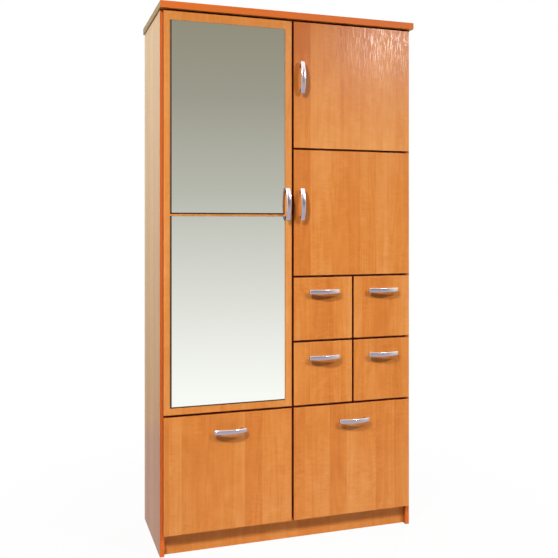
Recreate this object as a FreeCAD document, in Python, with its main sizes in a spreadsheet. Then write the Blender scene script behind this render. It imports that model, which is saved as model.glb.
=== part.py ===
"""Chifforobe of laminated board: a mirror door over a deep drawer beside two doors, four small drawers
and a second deep drawer.

Millimetres, +Z up, front towards -Y.  The origin lies on the floor, under the middle of the whole
cabinet with its handles.  "Left" and "right" are seen from the front.
"""
import FreeCAD
import Part
import Sketcher
import math
import os
import re

doc = FreeCAD.newDocument("chifforobe")

# Driving dimensions
SIZES = {
    # Carcass
    "width": (1000, "across the outer faces of the side panels"),
    "height": (2000, "floor to the upper face of the top panel"),
    "side_depth": (380, "side panel, front edge to rear edge"),
    "board": (16, "thickness of the carcass boards"),
    "top_board": (25, "thickness of the top panel"),
    "top_side_overhang": (4, "top panel past each side panel"),
    "top_front_overhang": (32, "top panel ahead of the side panels"),
    "top_rear_overhang": (15, "top panel behind the side panels, over a skirting board"),
    "plinth_height": (80, "floor to the underside of the bottom panel"),
    "plinth_setback": (20, "plinth behind the front edges of the side panels"),
    "rear_plinth_setback": (30, "rear plinth ahead of the rear edges of the side panels"),
    "back_sheet": (3, "thickness of the back sheets"),
    "back_margin": (1, "back sheets inside the outline, and half the joint between them"),
    "hat_shelf_drop": (260, "upper face of the hat shelf below the top panel"),
    "cross_rail_depth": (70, "rails between the rows of small drawers, front to rear"),
    "shelf_setback": (20, "loose and hat shelves behind the front edges of the side panels"),
    "shelf_play": (1, "loose shelf clear of each wall"),
    # Fronts
    "front_board": (16, "thickness of the doors and drawer fronts"),
    "front_gap": (3, "fronts ahead of the carcass"),
    "front_reveal": (10, "side panel edge left bare beside the fronts"),
    "column_gap": (9, "between the left and right columns of fronts"),
    "row_gap": (8, "between fronts, one above the other"),
    "drawer_gap": (8, "between small drawers, side by side"),
    "top_gap": (7, "fronts below the top panel"),
    "deep_front_height": (426, "front of a deep drawer"),
    "small_front_height": (238, "front of a small drawer"),
    # Mirrors
    "mirror_glass": (4, "thickness of a mirror pane"),
    "mirror_side_margin": (28, "bare door beside the panes"),
    "mirror_low_margin": (29, "bare door under the lower pane"),
    "mirror_top_margin": (32, "bare door over the upper pane"),
    "mirror_joint": (11, "bare strip between the panes"),
    "mirror_step": (3, "lower pane short of half the glass"),
    # Bow handles
    "handle_length": (124, "end to end"),
    "handle_width": (18, "across the strip"),
    "handle_projection": (34, "front face to the crown of the bow"),
    "handle_end": (20, "front face to the outer face of the bow, at its ends"),
    "handle_strip": (5, "thickness of the bent strip"),
    "handle_holes": (96, "between the middles of the two legs"),
    "handle_leg": (12, "leg of a handle, along and across the strip"),
    "handle_round": (3.5, "rounding of the strip's outer edges"),
    "mirror_handle_inset": (20, "handle centre line from the free edge of the mirror door"),
    "door_handle_inset": (29, "handle centre line from the free edge of a plain door"),
    "lower_handle_drop": (207, "handle centre below the upper edge of the lower plain door"),
    "upper_handle_drop": (213, "handle centre below the upper edge of the upper plain door"),
    "low_handle_drop": (58, "handle centre below the upper edge of a lower small drawer"),
    "high_handle_drop": (54, "handle centre below the upper edge of an upper small drawer"),
    "deep_handle_drop": (63, "handle centre below the upper edge of a deep drawer"),
    # Drawer boxes and runners
    "box_board": (12, "thickness of the box sides and back"),
    "box_sheet": (3, "thickness of the box bottom"),
    "box_length": (350, "box behind its front"),
    "box_lift": (34, "underside of the box above the lower edge of its front"),
    "small_box_height": (140, "sides of a small drawer box"),
    "deep_box_height": (310, "sides of a deep drawer box"),
    "runner_space": (12.5, "box side to the wall beside it"),
    "runner_sheet": (1.2, "steel of the runners"),
    "runner_length": (345, "cabinet runner"),
    "runner_setback": (2, "cabinet runner behind the front edges of the side panels"),
    "runner_web": (16, "drawer runner above the underside of the box"),
    "runner_drop": (10, "cabinet runner below the underside of the box"),
    "runner_play": (1, "clear between the two runners"),
    "runner_ledge": (10, "drawer runner under the box"),
    "roller_diameter": (15, "runner rollers"),
    "roller_width": (6.5, "runner rollers"),
    "roller_play": (0.3, "roller clear of the runner that it meets"),
    "roller_inset": (14, "roller axle from the end of its runner"),
    # Cup hinges
    "cup_diameter": (35, "hinge cup"),
    "cup_depth": (13, "hinge cup into the door"),
    "cup_wall": (1, "steel of the hinge cup"),
    "cup_edge": (2.5, "hinge cup from the edge of the door"),
    "cup_play": (0.1, "hinge cup clear of its bore"),
    "flange_length": (62, "screw flange of the cup, up and down the door"),
    "flange_width": (16, "screw flange of the cup, across the door"),
    "pin_diameter": (3, "hinge pin"),
    "pin_play": (0.05, "eye clear of the pin"),
    "pin_edge": (7, "hinge pin from the edge of the door"),
    "pin_depth": (9, "hinge pin below the back of the door"),
    "eye_wall": (1.25, "arm round the pin"),
    "arm_width": (9, "hinge arm, up and down"),
    "arm_sheet": (2.2, "thickness of the hinge arm"),
    "arm_reach": (14, "pin to the middle of the arm's riser"),
    "arm_rise": (20, "pin to the arm's crank"),
    "arm_crank": (10, "length of the crank"),
    "arm_length": (74, "pin to the end of the arm"),
    "plate_height": (6, "mounting plate under the arm"),
    "plate_length": (34, "mounting plate under the arm, front to rear"),
    "plate_span": (48, "mounting plate wings, up and down"),
    "plate_wing": (3, "thickness of the wings"),
    "plate_wing_width": (16, "wings, front to rear"),
    "hinge_end": (90, "outer hinges from the ends of a door"),
    # Hanging rail and shelf pins
    "rail_diameter": (25, "hanging rail"),
    "rail_wall": (1.5, "tube of the hanging rail"),
    "rail_drop": (45, "rail centre below the hat shelf"),
    "rail_end": (30, "rail ends inside the hat shelf's edges"),
    "rail_play": (0.1, "rail clear of its brackets"),
    "bracket_wall": (3, "rail bracket round the rail"),
    "bracket_width": (14, "rail bracket along the rail"),
    "bracket_foot": (50, "bracket foot across the shelf"),
    "peg_diameter": (5, "shelf pegs"),
    "peg_bore": (8, "shelf peg inside the wall"),
    "peg_length": (16, "shelf peg"),
    "peg_play": (0.05, "shelf peg clear of its bore"),
    "peg_inset": (50, "shelf pegs from the front and rear edges of the shelf"),
}

sheet = doc.addObject("Spreadsheet::Sheet", "Sizes")
for row, (alias, (value, meaning)) in enumerate(SIZES.items(), start=1):
    sheet.set(f"A{row}", str(value))
    sheet.set(f"B{row}", meaning)
    sheet.setAlias(f"A{row}", alias)
doc.recompute()

# Levels and places, as formulas of the driving dimensions
DEPTH = "(handle_projection + front_board + front_gap + side_depth + top_rear_overhang)"
FRONT = f"(handle_projection + front_board + front_gap - {DEPTH} / 2)"
REAR = f"({FRONT} + side_depth)"
FRONT_BACK = f"({FRONT} - front_gap)"
FRONT_FACE = f"({FRONT_BACK} - front_board)"

LEFT_WALL = "(board - width / 2)"
RIGHT_WALL = "(width / 2 - board)"
PARTITION_LEFT = "(-board / 2)"
PARTITION_RIGHT = "(board / 2)"
COLUMN = f"({RIGHT_WALL} - {PARTITION_RIGHT})"
DIVIDER = f"({PARTITION_RIGHT} + {COLUMN} / 2)"
MIDDLE_LEFT = f"({DIVIDER} - board / 2)"
MIDDLE_RIGHT = f"({DIVIDER} + board / 2)"
FRONT_WIDTH = "(width / 2 - front_reveal - column_gap / 2)"
SMALL_FRONT_WIDTH = f"(({FRONT_WIDTH} - drawer_gap) / 2)"
LEFT_FRONT = "(front_reveal - width / 2)"
RIGHT_FRONT = "(column_gap / 2)"
RIGHT_EDGE = f"({RIGHT_FRONT} + {FRONT_WIDTH})"
FAR_RIGHT_FRONT = f"({RIGHT_FRONT} + {SMALL_FRONT_WIDTH} + drawer_gap)"

UNDER_TOP = "(height - top_board)"
FLOOR_TOP = "(plinth_height + board)"
DEEP_LOW = "plinth_height"
SMALL_LOW = f"({DEEP_LOW} + deep_front_height + row_gap)"
SMALL_HIGH = f"({SMALL_LOW} + small_front_height + row_gap)"
DOOR_LOW = f"({SMALL_HIGH} + small_front_height + row_gap)"
FRONTS_TOP = f"({UNDER_TOP} - top_gap)"
DOOR_HEIGHT = f"(({FRONTS_TOP} - {DOOR_LOW} - row_gap) / 2)"
DOOR_HIGH = f"({DOOR_LOW} + {DOOR_HEIGHT} + row_gap)"
MIRROR_DOOR_HEIGHT = f"({FRONTS_TOP} - {SMALL_LOW})"
HAT_SHELF = f"({UNDER_TOP} - hat_shelf_drop - board)"

nodes = []


def formula(text):
    """Writes the names of the driving dimensions as cells of the sheet."""
    return re.sub(r"[a-z_]+", lambda word: f"Sizes.{word[0]}" if word[0] in SIZES else word[0], str(text))


def size(alias):
    """The number in a cell, for the first guess of a curve."""
    return float(SIZES[alias][0])


def bind(thing, **formulas):
    for name, text in formulas.items():
        thing.setExpression(name, formula(text))


def place(thing, x, y, z, turn=FreeCAD.Rotation()):
    thing.Placement = FreeCAD.Placement(FreeCAD.Vector(), turn)
    for axis, text in zip("xyz", (x, y, z)):
        thing.setExpression(f"Placement.Base.{axis}", formula(text))


def node(thing, label):
    """Keeps an object as a sub-part under its own name."""
    thing.Label = label
    nodes.append(thing)
    return thing


def block(name, corner, sides):
    thing = doc.addObject("Part::Box", name)
    bind(thing, Length=sides[0], Width=sides[1], Height=sides[2])
    place(thing, *corner)
    return thing


ALONG_X = FreeCAD.Rotation(FreeCAD.Vector(0, 1, 0), 90)
ALONG_Y = FreeCAD.Rotation(FreeCAD.Vector(1, 0, 0), -90)
ALONG_Z = FreeCAD.Rotation()
TURNED_OVER = FreeCAD.Rotation(FreeCAD.Vector(0, 1, 0), 180)
TURNED_ROUND = FreeCAD.Rotation(FreeCAD.Vector(0, 0, 1), 180)


def rod(name, start, radius, length, along):
    thing = doc.addObject("Part::Cylinder", name)
    bind(thing, Radius=radius, Height=length)
    place(thing, *start, along)
    return thing


def group(name, things, kind="Part::Compound"):
    thing = doc.addObject(kind, name)
    if kind == "Part::Compound":
        thing.Links = things
    else:
        thing.Shapes = things
    return thing


def join(name, things):
    return group(name, things, "Part::MultiFuse")


def cut(name, base, tool):
    thing = doc.addObject("Part::Cut", name)
    thing.Base = base
    thing.Tool = tool
    return thing


def body(name, x, y, z, turn=FreeCAD.Rotation()):
    thing = doc.addObject("PartDesign::Body", name)
    place(thing, x, y, z, turn)
    return thing


def sketch_in(owner, role):
    sketch = owner.newObject("Sketcher::SketchObject", f"{owner.Name}_sketch")
    plane = next(feature for feature in owner.Origin.OriginFeatures if feature.Role == role)
    sketch.AttachmentSupport = [(plane, "")]
    sketch.MapMode = "FlatFace"
    return sketch


def hold(sketch, kind, *where, text=None, guess=None):
    """Adds a constraint, driven by a formula where there is one and starting from a guess."""
    if text is None:
        sketch.addConstraint(Sketcher.Constraint(kind, *where))
        return
    number = sketch.addConstraint(Sketcher.Constraint(kind, *where, guess))
    sketch.setExpression(f"Constraints[{number}]", formula(text))


def hold_point(sketch, edge, end, across, up, guess):
    hold(sketch, "DistanceX", -1, 1, edge, end, text=across, guess=guess.x)
    hold(sketch, "DistanceY", -1, 1, edge, end, text=up, guess=guess.y)


def outline(sketch, corners):
    """Closed outline of straight lines whose corners are given as formulas."""
    count = len(corners)
    turns = [2 * math.pi * number / count for number in range(count)]
    guesses = [FreeCAD.Vector(math.cos(turn), math.sin(turn), 0) for turn in turns]
    for number in range(count):
        sketch.addGeometry(Part.LineSegment(guesses[number], guesses[(number + 1) % count]))
    for number, (across, up) in enumerate(corners):
        hold(sketch, "Coincident", number, 2, (number + 1) % count, 1)
        hold_point(sketch, number, 1, across, up, guesses[number])


def ring(sketch, radius):
    sketch.addGeometry(Part.Circle(FreeCAD.Vector(), FreeCAD.Vector(0, 0, 1), 1))
    hold(sketch, "Coincident", 0, 3, -1, 1)
    hold(sketch, "Radius", 0, text=radius, guess=1)


def pad(owner, sketch, length):
    """Both ways from the sketch, half the length each."""
    thing = owner.newObject("PartDesign::Pad", f"{owner.Name}_pad")
    thing.Profile = sketch
    thing.Midplane = True
    bind(thing, Length=length)
    return thing


def bore_through(owner, sketch):
    thing = owner.newObject("PartDesign::Pocket", f"{owner.Name}_bore")
    thing.Profile = sketch
    thing.Type = "ThroughAll"
    thing.Midplane = True
    return thing


# Carcass


def fixed_shelf(name, left, right, gap_above):
    """Fixed shelf whose middle is level with the gap under the fronts above it."""
    level = f"{gap_above} - row_gap / 2 - board / 2"
    node(block(name, (left, FRONT, level), (f"{right} - {left}", "side_depth", "board")), name)


def peg_places(level):
    """Front and rear places of the pegs under a loose shelf."""
    front = f"{FRONT} + shelf_setback + peg_inset"
    rear = f"{REAR} - peg_inset"
    return [(front, f"{level} - peg_diameter / 2"), (rear, f"{level} - peg_diameter / 2")]


LOOSE_SHELVES = {
    "lower_loose_shelf": f"({DOOR_LOW} + {DOOR_HEIGHT} / 2)",
    "upper_loose_shelf": f"({DOOR_HIGH} + {DOOR_HEIGHT} / 2)",
}
PEGS = [spot for level in LOOSE_SHELVES.values() for spot in peg_places(level)]


def drilled(name, panel, start):
    """Panel with a blind bore for every shelf peg."""
    bores = [
        rod(f"{name}_bore", (start, y, z), "peg_diameter / 2 + peg_play", "peg_bore + peg_play", ALONG_X)
        for y, z in PEGS
    ]
    node(cut(f"{name}_drilled", panel, group(f"{name}_bores", bores)), name)


def carcass():
    side = ("board", "side_depth", UNDER_TOP)
    node(block("left_side_panel", ("-width / 2", FRONT, "0"), side), "left_side_panel")
    drilled("right_side_panel", block("right_board", (RIGHT_WALL, FRONT, "0"), side), RIGHT_WALL)
    upright = block(
        "partition_board",
        (PARTITION_LEFT, FRONT, FLOOR_TOP),
        ("board", "side_depth", f"{UNDER_TOP} - {FLOOR_TOP}"),
    )
    drilled("centre_partition", upright, f"{PARTITION_RIGHT} - peg_bore - peg_play")
    top = block(
        "top_panel",
        ("-width / 2 - top_side_overhang", f"{FRONT} - top_front_overhang", UNDER_TOP),
        ("width + 2 * top_side_overhang", "top_front_overhang + side_depth + top_rear_overhang", "top_board"),
    )
    node(top, "top_panel")
    clear = f"{RIGHT_WALL} - {LEFT_WALL}"
    floor = block("bottom_panel", (LEFT_WALL, FRONT, "plinth_height"), (clear, "side_depth", "board"))
    node(floor, "bottom_panel")
    plinth = (clear, "board", "plinth_height")
    node(block("plinth_board", (LEFT_WALL, f"{FRONT} + plinth_setback", "0"), plinth), "plinth_board")
    rear = f"{REAR} - rear_plinth_setback - board"
    node(block("rear_plinth_board", (LEFT_WALL, rear, "0"), plinth), "rear_plinth_board")
    sheet_sides = ("width / 2 - 2 * back_margin", "back_sheet", f"{UNDER_TOP} - plinth_height")
    for name, left in (("left_back_sheet", "back_margin - width / 2"), ("right_back_sheet", "back_margin")):
        node(block(name, (left, REAR, "plinth_height"), sheet_sides), name)
    fixed_shelf("left_fixed_shelf", LEFT_WALL, PARTITION_LEFT, SMALL_LOW)
    fixed_shelf("right_lower_fixed_shelf", PARTITION_RIGHT, RIGHT_WALL, SMALL_LOW)
    fixed_shelf("right_middle_fixed_shelf", PARTITION_RIGHT, RIGHT_WALL, DOOR_LOW)
    fixed_shelf("right_upper_fixed_shelf", PARTITION_RIGHT, RIGHT_WALL, DOOR_HIGH)
    divider = block(
        "drawer_divider",
        (MIDDLE_LEFT, FRONT, f"{SMALL_LOW} - row_gap / 2 + board / 2"),
        ("board", "side_depth", f"{DOOR_LOW} - {SMALL_LOW} - board"),
    )
    node(divider, "drawer_divider")
    rails = [
        block(
            "cross_rail",
            (left, FRONT, f"{SMALL_HIGH} - row_gap / 2 - board / 2"),
            (f"{right} - {left}", "cross_rail_depth", "board"),
        )
        for left, right in ((PARTITION_RIGHT, MIDDLE_LEFT), (MIDDLE_RIGHT, RIGHT_WALL))
    ]
    node(group("cross_rails", rails), "drawer_cross_rails")


def inside_fittings():
    deep = "side_depth - shelf_setback"
    near = f"{FRONT} + shelf_setback"
    wide = f"{PARTITION_LEFT} - {LEFT_WALL}"
    node(block("hat_shelf", (LEFT_WALL, near, HAT_SHELF), (wide, deep, "board")), "hat_shelf")
    for name, level in LOOSE_SHELVES.items():
        sides = (f"{COLUMN} - 2 * shelf_play", deep, "board")
        node(block(name, (f"{PARTITION_RIGHT} + shelf_play", near, level), sides), name)
    starts = (f"{PARTITION_RIGHT} - peg_bore", f"{RIGHT_WALL} + peg_bore - peg_length")
    pegs = [
        rod("peg", (start, y, z), "peg_diameter / 2", "peg_length", ALONG_X)
        for start in starts
        for y, z in PEGS
    ]
    node(group("pegs", pegs), "shelf_pegs")
    hanging_rail(f"({LEFT_WALL} + ({wide}) / 2)", near, deep)


def hanging_rail(middle, near, deep):
    """Tube from front to rear under the hat shelf, in two ring brackets."""
    level = f"({HAT_SHELF} - rail_drop)"
    start = f"{near} + rail_end"
    length = f"{deep} - 2 * rail_end"
    outside = rod("rail_outside", (middle, start, level), "rail_diameter / 2", length, ALONG_Y)
    inside = rod("rail_inside", (middle, start, level), "rail_diameter / 2 - rail_wall", length, ALONG_Y)
    node(cut("rail_tube", outside, inside), "hanger_rail")
    brackets = []
    for at in (start, f"{start} + {length} - bracket_width"):
        foot = block(
            "bracket_foot",
            (f"{middle} - bracket_foot / 2", at, f"{HAT_SHELF} - bracket_wall"),
            ("bracket_foot", "bracket_width", "bracket_wall"),
        )
        stem = block(
            "bracket_stem",
            (f"{middle} - bracket_wall", at, level),
            ("2 * bracket_wall", "bracket_width", "rail_drop"),
        )
        centre = (middle, at, level)
        outer = rod("bracket_ring", centre, "rail_diameter / 2 + bracket_wall", "bracket_width", ALONG_Y)
        bore = rod("bracket_bore", centre, "rail_diameter / 2 + rail_play", "bracket_width", ALONG_Y)
        brackets.append(cut("bracket", join("bracket_whole", [foot, stem, outer]), bore))
    node(group("brackets", brackets), "rail_brackets")


# Bow handles


HANDLE_RISE = "(handle_projection - handle_end)"
HANDLE_RADIUS = f"(((handle_length / 2)^2 + {HANDLE_RISE}^2) / (2 * {HANDLE_RISE}))"


def bow_arc(sketch, number, level, guess):
    """Arc over the whole length of a handle, given by the level of its ends."""
    half = size("handle_length") / 2
    crown = guess + size("handle_projection") - size("handle_end")
    ends = [FreeCAD.Vector(side * half, guess, 0) for side in (1, -1)]
    sketch.addGeometry(Part.Arc(ends[0], FreeCAD.Vector(0, crown, 0), ends[1]))
    for point, side in ((1, 1), (2, -1)):
        hold_point(sketch, number, point, f"{side} * handle_length / 2", level, ends[point - 1])
    hold(sketch, "Radius", number, text=HANDLE_RADIUS, guess=sketch.Geometry[number].Radius)


def leg(bow, side):
    """Leg under a handle's strip, as far as the middle of the strip's thickness."""
    sketch = sketch_in(bow, "XY_Plane")
    corners = []
    for edge in (1, -1):
        across = f"({side} * handle_holes / 2 + {side} * {edge} * handle_leg / 2)"
        under_crown = f"{HANDLE_RADIUS} - sqrt({HANDLE_RADIUS}^2 - {across}^2)"
        corners.append((across, f"handle_projection - handle_strip / 2 - ({under_crown})"))
    outer, inner = corners
    outline(sketch, [(outer[0], "0"), outer, inner, (inner[0], "0")])
    return pad(bow, sketch, "handle_leg")


def handle(name, x, z, upright):
    """Strip bent to an arc, with its outer edges rounded, on two legs."""
    turn = FreeCAD.Rotation(FreeCAD.Vector(1, 0, 0), 180)
    if upright:
        turn = ALONG_X.multiply(turn)
    bow = body(name, x, FRONT_FACE, z, turn)
    sketch = sketch_in(bow, "XY_Plane")
    ends = size("handle_end")
    bow_arc(sketch, 0, "handle_end", ends)
    bow_arc(sketch, 1, "(handle_end - handle_strip)", ends - size("handle_strip"))
    for number, end in ((2, 1), (3, 2)):
        points = [sketch.getPoint(curve, end) for curve in (0, 1)]
        sketch.addGeometry(Part.LineSegment(*points))
        hold(sketch, "Coincident", number, 1, 0, end)
        hold(sketch, "Coincident", number, 2, 1, end)
    strip = pad(bow, sketch, "handle_width")
    doc.recompute()

    def is_outer(edge):
        return all(vertex.Y > ends - size("handle_strip") / 2 for vertex in edge.Vertexes)

    edges = [f"Edge{number}" for number, edge in enumerate(strip.Shape.Edges, start=1) if is_outer(edge)]
    rounding = bow.newObject("PartDesign::Fillet", f"{name}_rounding")
    rounding.Base = (strip, edges)
    bind(rounding, Radius="handle_round")
    for side in (1, -1):
        leg(bow, side)
    node(bow, name)


# Cup hinges


def cup(name, edge, hand, level):
    """Cup in the back of a door at one hinge edge, with its screw flange and its pin across the mouth.

    The hand is 1 where the door lies to the right of its hinge edge and -1 where it lies to the left.
    """
    middle = f"({edge} + {hand} * (cup_edge + cup_diameter / 2))"
    pin = f"({edge} + {hand} * pin_edge)"
    low = f"{FRONT_BACK} - cup_depth"
    outer = rod(f"{name}_outer", (middle, low, level), "cup_diameter / 2", "cup_depth + cup_wall", ALONG_Y)
    flange = block(
        f"{name}_flange",
        (f"{middle} - flange_width / 2", FRONT_BACK, f"{level} - flange_length / 2"),
        ("flange_width", "cup_wall", "flange_length"),
    )
    room = rod(
        f"{name}_room",
        (middle, f"{low} + cup_wall", level),
        "cup_diameter / 2 - cup_wall",
        "cup_depth",
        ALONG_Y,
    )
    shell = cut(f"{name}_shell", join(f"{name}_whole", [outer, flange]), room)
    bar = rod(
        f"{name}_bar",
        (pin, f"{FRONT_BACK} - pin_depth", f"{level} - cup_diameter / 2"),
        "pin_diameter / 2",
        "cup_diameter",
        ALONG_Z,
    )
    span = doc.addObject("Part::Common", f"{name}_pin")
    span.Base = bar
    span.Tool = rod(f"{name}_limit", (middle, low, level), "cup_diameter / 2", "cup_depth", ALONG_Y)
    return join(name, [shell, span])


def cup_bore(name, edge, hand, level):
    middle = f"({edge} + {hand} * (cup_edge + cup_diameter / 2))"
    start = f"{FRONT_BACK} - cup_depth - cup_play"
    return rod(name, (middle, start, level), "cup_diameter / 2 + cup_play", "cup_depth + cup_play", ALONG_Y)


def arm(name, edge, hand, level):
    """Cranked arm from the pin in the cup to the mounting plate on the wall."""
    turn = ALONG_Z if hand == 1 else TURNED_OVER
    thing = body(name, f"{edge} + {hand} * pin_edge", f"{FRONT_BACK} - pin_depth", level, turn)
    half = "arm_sheet / 2"
    tail = "(plate_height + board - front_reveal - pin_edge + arm_sheet / 2)"
    strip = sketch_in(thing, "XY_Plane")
    outline(strip, [
        ("0", f"-{half}"),
        (f"arm_reach + {half}", f"-{half}"),
        (f"arm_reach + {half}", "arm_rise"),
        (f"{tail} + {half}", "arm_rise + arm_crank"),
        (f"{tail} + {half}", "arm_length"),
        (f"{tail} - {half}", "arm_length"),
        (f"{tail} - {half}", "arm_rise + arm_crank"),
        (f"arm_reach - {half}", "arm_rise"),
        (f"arm_reach - {half}", half),
        ("0", half),
    ])
    pad(thing, strip, "arm_width")
    eye = sketch_in(thing, "XY_Plane")
    ring(eye, "pin_diameter / 2 + pin_play + eye_wall")
    pad(thing, eye, "arm_width")
    bore = sketch_in(thing, "XY_Plane")
    ring(bore, "pin_diameter / 2 + pin_play")
    thing.Tip = bore_through(thing, bore)
    return thing


def mounting_plate(name, wall, hand, level):
    """Block under the end of the arm, with two screw wings on the wall."""
    end = f"({FRONT_BACK} - pin_depth + arm_length)"
    left = wall if hand == 1 else f"{wall} - plate_height"
    wing_left = wall if hand == 1 else f"{wall} - plate_wing"
    core = block(
        f"{name}_core",
        (left, f"{end} - plate_length", f"{level} - arm_width / 2"),
        ("plate_height", "plate_length", "arm_width"),
    )
    wings = block(
        f"{name}_wings",
        (wing_left, f"{end} - plate_length / 2 - plate_wing_width / 2", f"{level} - plate_span / 2"),
        ("plate_wing", "plate_wing_width", "plate_span"),
    )
    return join(name, [core, wings])


def doors():
    """Door panels bored for their hinge cups, with the cups, and the arms and plates on the carcass."""
    arms = []
    plates = []
    # name, hinge edge, wall, hand, left edge, lower edge, height, hinges
    for name, edge, wall, hand, left, low, tall, hinges in (
        ("mirror_door", LEFT_FRONT, LEFT_WALL, 1, LEFT_FRONT, SMALL_LOW, MIRROR_DOOR_HEIGHT, 4),
        ("lower_door", RIGHT_EDGE, RIGHT_WALL, -1, RIGHT_FRONT, DOOR_LOW, DOOR_HEIGHT, 2),
        ("upper_door", RIGHT_EDGE, RIGHT_WALL, -1, RIGHT_FRONT, DOOR_HIGH, DOOR_HEIGHT, 2),
    ):
        pitch = f"({tall} - 2 * hinge_end) / {hinges - 1}"
        levels = [f"({low} + hinge_end + {number} * {pitch})" for number in range(hinges)]
        panel = block(f"{name}_board", (left, FRONT_FACE, low), (FRONT_WIDTH, "front_board", tall))
        bores = [cup_bore(f"{name}_bore", edge, hand, level) for level in levels]
        node(cut(f"{name}_bored", panel, group(f"{name}_bores", bores)), f"{name}_panel")
        cups = [cup(f"{name}_cup", edge, hand, level) for level in levels]
        node(group(f"{name}_cups", cups), f"{name}_hinge_cups")
        arms += [arm(f"{name}_arm", edge, hand, level) for level in levels]
        plates += [mounting_plate(f"{name}_plate", wall, hand, level) for level in levels]
    node(group("arms", arms), "hinge_arms")
    node(group("plates", plates), "hinge_plates")
    mirrors()
    lower_handle = f"{DOOR_LOW} + {DOOR_HEIGHT} - lower_handle_drop"
    upper_handle = f"{DOOR_HIGH} + {DOOR_HEIGHT} - upper_handle_drop"
    handle("mirror_door_handle", f"{LEFT_FRONT} + {FRONT_WIDTH} - mirror_handle_inset", lower_handle, True)
    handle("lower_door_handle", f"{RIGHT_FRONT} + door_handle_inset", lower_handle, True)
    handle("upper_door_handle", f"{RIGHT_FRONT} + door_handle_inset", upper_handle, True)


def mirrors():
    """Two panes glued to the face of the tall door."""
    low = f"({SMALL_LOW} + mirror_low_margin)"
    glass = f"({MIRROR_DOOR_HEIGHT} - mirror_low_margin - mirror_joint - mirror_top_margin)"
    lower_height = f"({glass} / 2 - mirror_step)"
    high = f"({low} + {lower_height} + mirror_joint)"
    wide = f"{FRONT_WIDTH} - 2 * mirror_side_margin"
    panes = (("lower_mirror", low, lower_height), ("upper_mirror", high, f"{glass} - {lower_height}"))
    for name, level, tall in panes:
        corner = (f"{LEFT_FRONT} + mirror_side_margin", f"{FRONT_FACE} - mirror_glass", level)
        node(block(name, corner, (wide, "mirror_glass", tall)), name)


# Drawers

ROLLER = "(roller_diameter / 2)"
CABINET_AXLE = f"(runner_web - runner_sheet - roller_play - {ROLLER})"
DRAWER_AXLE = f"(runner_sheet - runner_drop + roller_play + {ROLLER})"


def runner(name, wall, hand, start, length, under, corners):
    """Folded steel runner, drawn across from its wall and up from the underside of the box."""
    turn = ALONG_Z if hand == 1 else TURNED_ROUND
    thing = body(name, wall, f"{start} + ({length}) / 2", under, turn)
    sketch = sketch_in(thing, "XZ_Plane")
    outline(sketch, corners)
    pad(thing, sketch, length)
    return thing


CABINET_SECTION = (
    ("0", "-runner_drop"),
    ("runner_space - runner_sheet - runner_play", "-runner_drop"),
    ("runner_space - runner_sheet - runner_play", "runner_sheet - runner_drop"),
    ("runner_sheet", "runner_sheet - runner_drop"),
    ("runner_sheet", "runner_web + runner_play"),
    ("runner_space - runner_sheet - runner_play", "runner_web + runner_play"),
    ("runner_space - runner_sheet - runner_play", "runner_web + runner_play + runner_sheet"),
    ("0", "runner_web + runner_play + runner_sheet"),
)
DRAWER_SECTION = (
    ("runner_space + runner_ledge", "-runner_sheet"),
    ("runner_space - runner_sheet", "-runner_sheet"),
    ("runner_space - runner_sheet", "runner_web - runner_sheet"),
    ("runner_sheet + runner_play", "runner_web - runner_sheet"),
    ("runner_sheet + runner_play", "runner_web"),
    ("runner_space", "runner_web"),
    ("runner_space", "0"),
    ("runner_space + runner_ledge", "0"),
)


def runner_pair(name, wall, hand, under):
    """Cabinet runner with its front roller, and drawer runner with its rear roller, at one wall."""
    start = f"{FRONT} + runner_setback"
    fixed = runner(f"{name}_fixed", wall, hand, start, "runner_length", under, CABINET_SECTION)
    sliding = runner(f"{name}_sliding", wall, hand, FRONT_BACK, "box_length", under, DRAWER_SECTION)
    near = "runner_sheet"
    far = "(runner_space - runner_sheet - roller_width)"
    fixed_left = f"{wall} + {near}" if hand == 1 else f"{wall} - {near} - roller_width"
    sliding_left = f"{wall} + {far}" if hand == 1 else f"{wall} - {far} - roller_width"
    front_roller = rod(
        f"{name}_front_roller",
        (fixed_left, f"{start} + roller_inset", f"{under} + {CABINET_AXLE}"),
        ROLLER,
        "roller_width",
        ALONG_X,
    )
    rear_roller = rod(
        f"{name}_rear_roller",
        (sliding_left, f"{FRONT_BACK} + box_length - roller_inset", f"{under} + {DRAWER_AXLE}"),
        ROLLER,
        "roller_width",
        ALONG_X,
    )
    return [fixed, front_roller], [sliding, rear_roller]


def box(name, left, right, under, tall):
    """Two sides and a back on a nailed bottom, open at the top and closed in front by the drawer front."""
    outer = f"({right} - {left} - 2 * runner_space)"
    start = f"({left} + runner_space)"
    side = ("box_board", "box_length", tall)
    above = f"{under} + box_sheet"
    pieces = [
        block(f"{name}_left", (start, FRONT_BACK, above), side),
        block(f"{name}_right", (f"{start} + {outer} - box_board", FRONT_BACK, above), side),
        block(
            f"{name}_rear",
            (f"{start} + box_board", f"{FRONT_BACK} + box_length - box_board", above),
            (f"{outer} - 2 * box_board", "box_board", tall),
        ),
        block(f"{name}_bottom", (start, FRONT_BACK, under), (outer, "box_length", "box_sheet")),
    ]
    node(group(f"{name}_group", pieces), name)


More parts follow.
